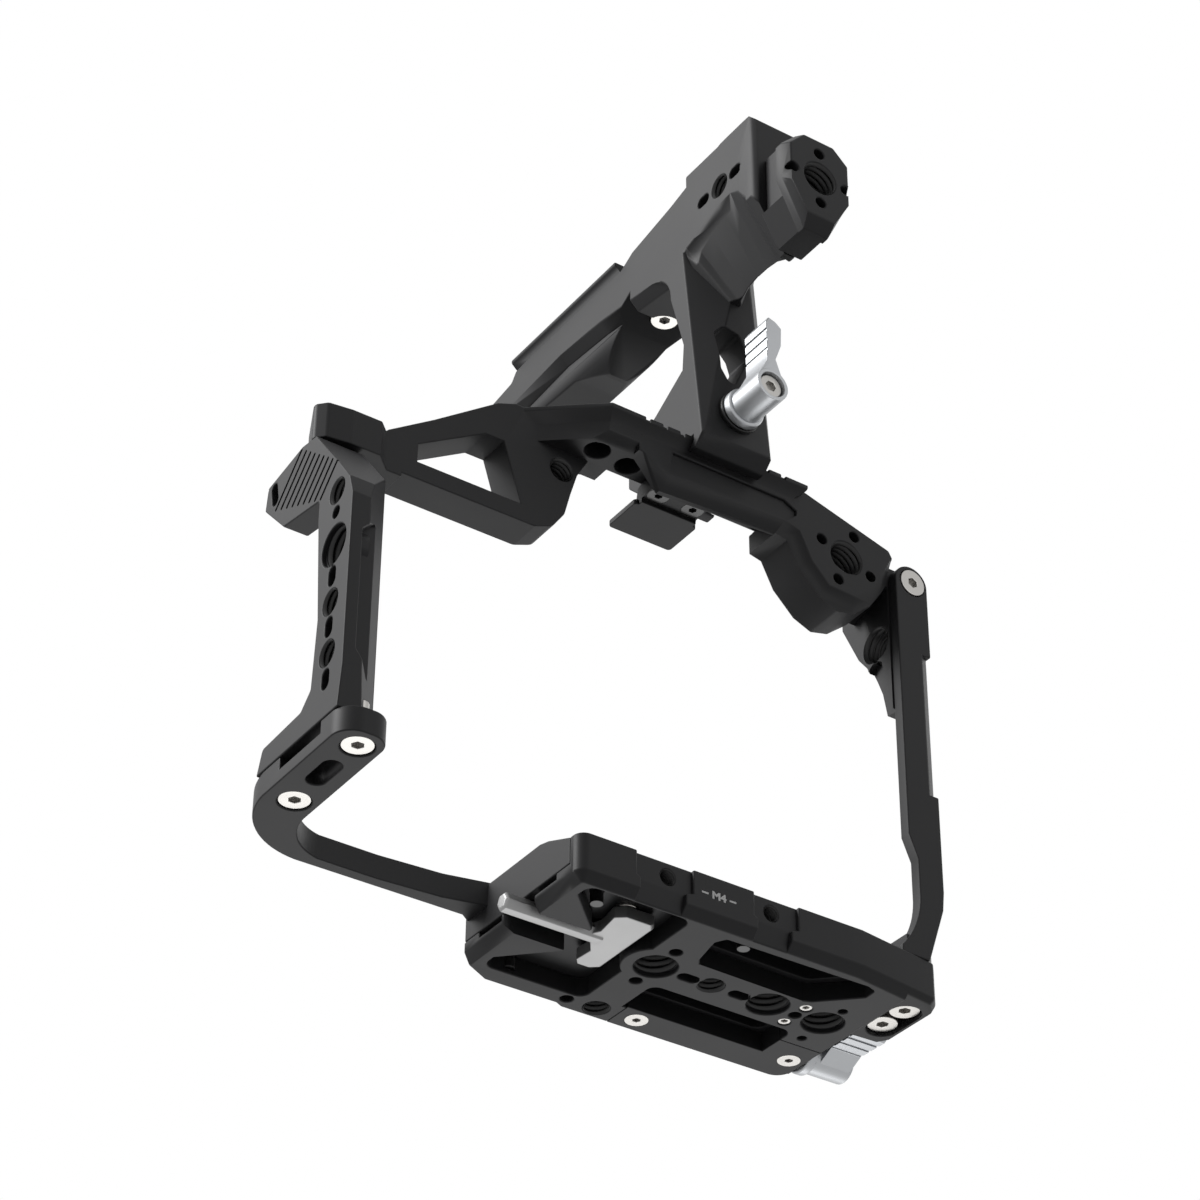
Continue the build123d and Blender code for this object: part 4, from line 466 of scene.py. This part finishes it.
def etched_mark(name, node, text, middle, height):
    """Letters etched on a face that looks along -Y, with a dash on each side."""
    letters = bpy.data.curves.new(name, "FONT")
    letters.body = text
    letters.size = height / CAP_SHARE * MM
    letters.align_x = "CENTER"
    letters.align_y = "CENTER"
    letters.resolution_u = 2
    letters.offset = BOLD * MM
    source = bpy.data.objects.new(name + "_letters", letters)
    bpy.context.scene.collection.objects.link(source)
    flat = bpy.data.meshes.new_from_object(source.evaluated_get(bpy.context.evaluated_depsgraph_get()))
    bpy.data.objects.remove(source)
    shape = bmesh.new()
    shape.from_mesh(flat)
    bpy.data.meshes.remove(flat)
    bmesh.ops.scale(shape, verts=shape.verts, vec=(WIDEN, 1.0, 1.0))
    near, far, half = (height + DASH_FROM) * MM, (height + DASH_TO) * MM, DASH_HALF * MM
    for side in (-1, 1):
        corners = [(side * u, v) for u, v in ((near, -half), (near, half), (far, half), (far, -half))]
        shape.faces.new([shape.verts.new((u, v, 0.0)) for u, v in corners])
    bmesh.ops.rotate(shape, verts=shape.verts, matrix=Matrix.Rotation(math.pi / 2.0, 3, "X"))
    bmesh.ops.translate(shape, verts=shape.verts, vec=middle)
    for face in shape.faces:
        face.normal_update()
        if face.normal.y > 0:
            face.normal_flip()
    mark = finished_piece(name, shape, mark_white)
    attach(mark, BODY_OF[node])


mark_middle = at(-18.75, WALL_FACE_Y - MARK_PROUD, 6.6)
etched_mark("thread_size_mark", "base_plate", "M4", mark_middle, MARK_HEIGHT)


# ---------------------------------------------------------------- clamp spring
CLAMP_X, CLAMP_Z = -13.8, 140.9         # the clamp's stud, which the coil goes round
COIL_START, COIL_LENGTH = 1.75, 5.2     # along Y
COIL_TURNS, COIL_STEPS, COIL_R, WIRE_R = 4.0, 24, 3.85, 0.42
coil_wire = bpy.data.curves.new("clamp_spring_coil", "CURVE")
coil_wire.dimensions = "3D"
coil_wire.bevel_depth = WIRE_R * MM
coil_wire.bevel_resolution = 3
coil_line = coil_wire.splines.new("POLY")
coil_points = int(COIL_TURNS * COIL_STEPS)
coil_line.points.add(coil_points)
for i in range(coil_points + 1):
    turn = 2.0 * math.pi * i / COIL_STEPS
    depth = COIL_START + COIL_LENGTH * i / coil_points
    point = at(CLAMP_X + COIL_R * math.cos(turn), depth, CLAMP_Z + COIL_R * math.sin(turn))
    coil_line.points[i].co = (*point, 1.0)
coil_wire.materials.append(stainless)
clamp_coil = bpy.data.objects.new("clamp_spring_coil", coil_wire)
bpy.context.scene.collection.objects.link(clamp_coil)
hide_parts("clamp_spring")
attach(clamp_coil, "handle")

# ---------------------------------------------------------------- studio
studio = bpy.context.scene
studio.view_settings.view_transform = "Standard"

# the sky is white to the camera and in mirrors, and lights the object faintly
AMBIENT = 0.10
sky = bpy.data.worlds.new("studio_sky")
studio.world = sky
sky.use_nodes = True
sky_tree = sky.node_tree
background = sky_tree.nodes["Background"]
background.inputs["Color"].default_value = (1.0, 1.0, 1.0, 1.0)
rays = sky_tree.nodes.new("ShaderNodeLightPath")
shown = math_node(sky_tree, "MAXIMUM", rays.outputs["Is Camera Ray"], rays.outputs["Is Glossy Ray"])
shown = math_node(sky_tree, "MAXIMUM", shown, rays.outputs["Is Transmission Ray"])
lift = math_node(sky_tree, "MULTIPLY_ADD", shown, 1.0 - AMBIENT)
lift.node.inputs[2].default_value = AMBIENT
sky_tree.links.new(lift, background.inputs["Strength"])

# the floor shows from above only, so that a view from below still sees the object
FLOOR, FLOOR_GAP = 3.0, 0.0002          # half its width, and its drop below the object
floor_mesh = bpy.data.meshes.new("floor")
floor_mesh.from_pydata([(-FLOOR, -FLOOR, 0), (FLOOR, -FLOOR, 0), (FLOOR, FLOOR, 0), (-FLOOR, FLOOR, 0)],
                       [], [(0, 1, 2, 3)])
floor = bpy.data.objects.new("floor", floor_mesh)
floor.location.z = CAD_BOX[0][2] - FLOOR_GAP
studio.collection.objects.link(floor)
paper = bpy.data.materials.new("floor_paper")
paper.use_nodes = True
paper_tree = paper.node_tree
paper_shader = paper_tree.nodes["Principled BSDF"]
paper_shader.inputs["Base Color"].default_value = (0.86, 0.86, 0.86, 1.0)
paper_shader.inputs["Roughness"].default_value = 0.9
clear = paper_tree.nodes.new("ShaderNodeBsdfTransparent")
choice = paper_tree.nodes.new("ShaderNodeMixShader")
geometry = paper_tree.nodes.new("ShaderNodeNewGeometry")
floor_rays = paper_tree.nodes.new("ShaderNodeLightPath")
above = math_node(paper_tree, "SUBTRACT", 1.0, geometry.outputs["Backfacing"])
solid = math_node(paper_tree, "MULTIPLY", above, floor_rays.outputs["Is Camera Ray"])
paper_tree.links.new(solid, choice.inputs["Fac"])
paper_tree.links.new(clear.outputs[0], choice.inputs[1])
paper_tree.links.new(paper_shader.outputs[0], choice.inputs[2])
paper_tree.links.new(choice.outputs[0], paper_tree.nodes["Material Output"].inputs["Surface"])
floor_mesh.materials.append(paper)


def softbox(name, place, aim, width, height, power):
    """A rectangular lamp at place, facing aim."""
    lamp = bpy.data.lights.new(name, "AREA")
    lamp.shape = "RECTANGLE"
    lamp.size, lamp.size_y = width, height
    lamp.energy = power
    box = bpy.data.objects.new(name, lamp)
    box.location = place
    box.rotation_euler = (Vector(aim) - Vector(place)).to_track_quat("-Z", "Y").to_euler()
    studio.collection.objects.link(box)


MIDDLE = (0.0, 0.0, 0.11)
softbox("left_softbox", (-2.3, 0.9, 1.7), MIDDLE, 1.6, 1.6, 124.0)
softbox("low_softbox", (0.9, 1.6, -1.9), MIDDLE, 1.4, 1.4, 19.0)
softbox("front_softbox", (0.8, -2.6, 0.7), MIDDLE, 1.4, 1.4, 12.0)
softbox("right_softbox", (2.4, 0.4, 0.9), MIDDLE, 1.0, 1.4, 8.0)

# ---------------------------------------------------------------- camera
EYE = at(-401.212, -538.464, -367.162)
SIGHT = Vector((0.4555, 0.6813, 0.5730)).normalized()
ACROSS = Vector((0.8282, -0.5603, 0.0078)).normalized()     # the picture's left to right
SENSOR, FOCAL = 36.0, 101.84
lens = bpy.data.cameras.new("studio_camera")
lens.sensor_width = SENSOR
lens.lens = FOCAL
lens.clip_start = 0.05
camera = bpy.data.objects.new("studio_camera", lens)
up = SIGHT.cross(ACROSS) * -1.0
camera.matrix_world = Matrix.Translation(EYE) @ Matrix((ACROSS, up, -SIGHT)).transposed().to_4x4()
studio.collection.objects.link(camera)
studio.camera = camera
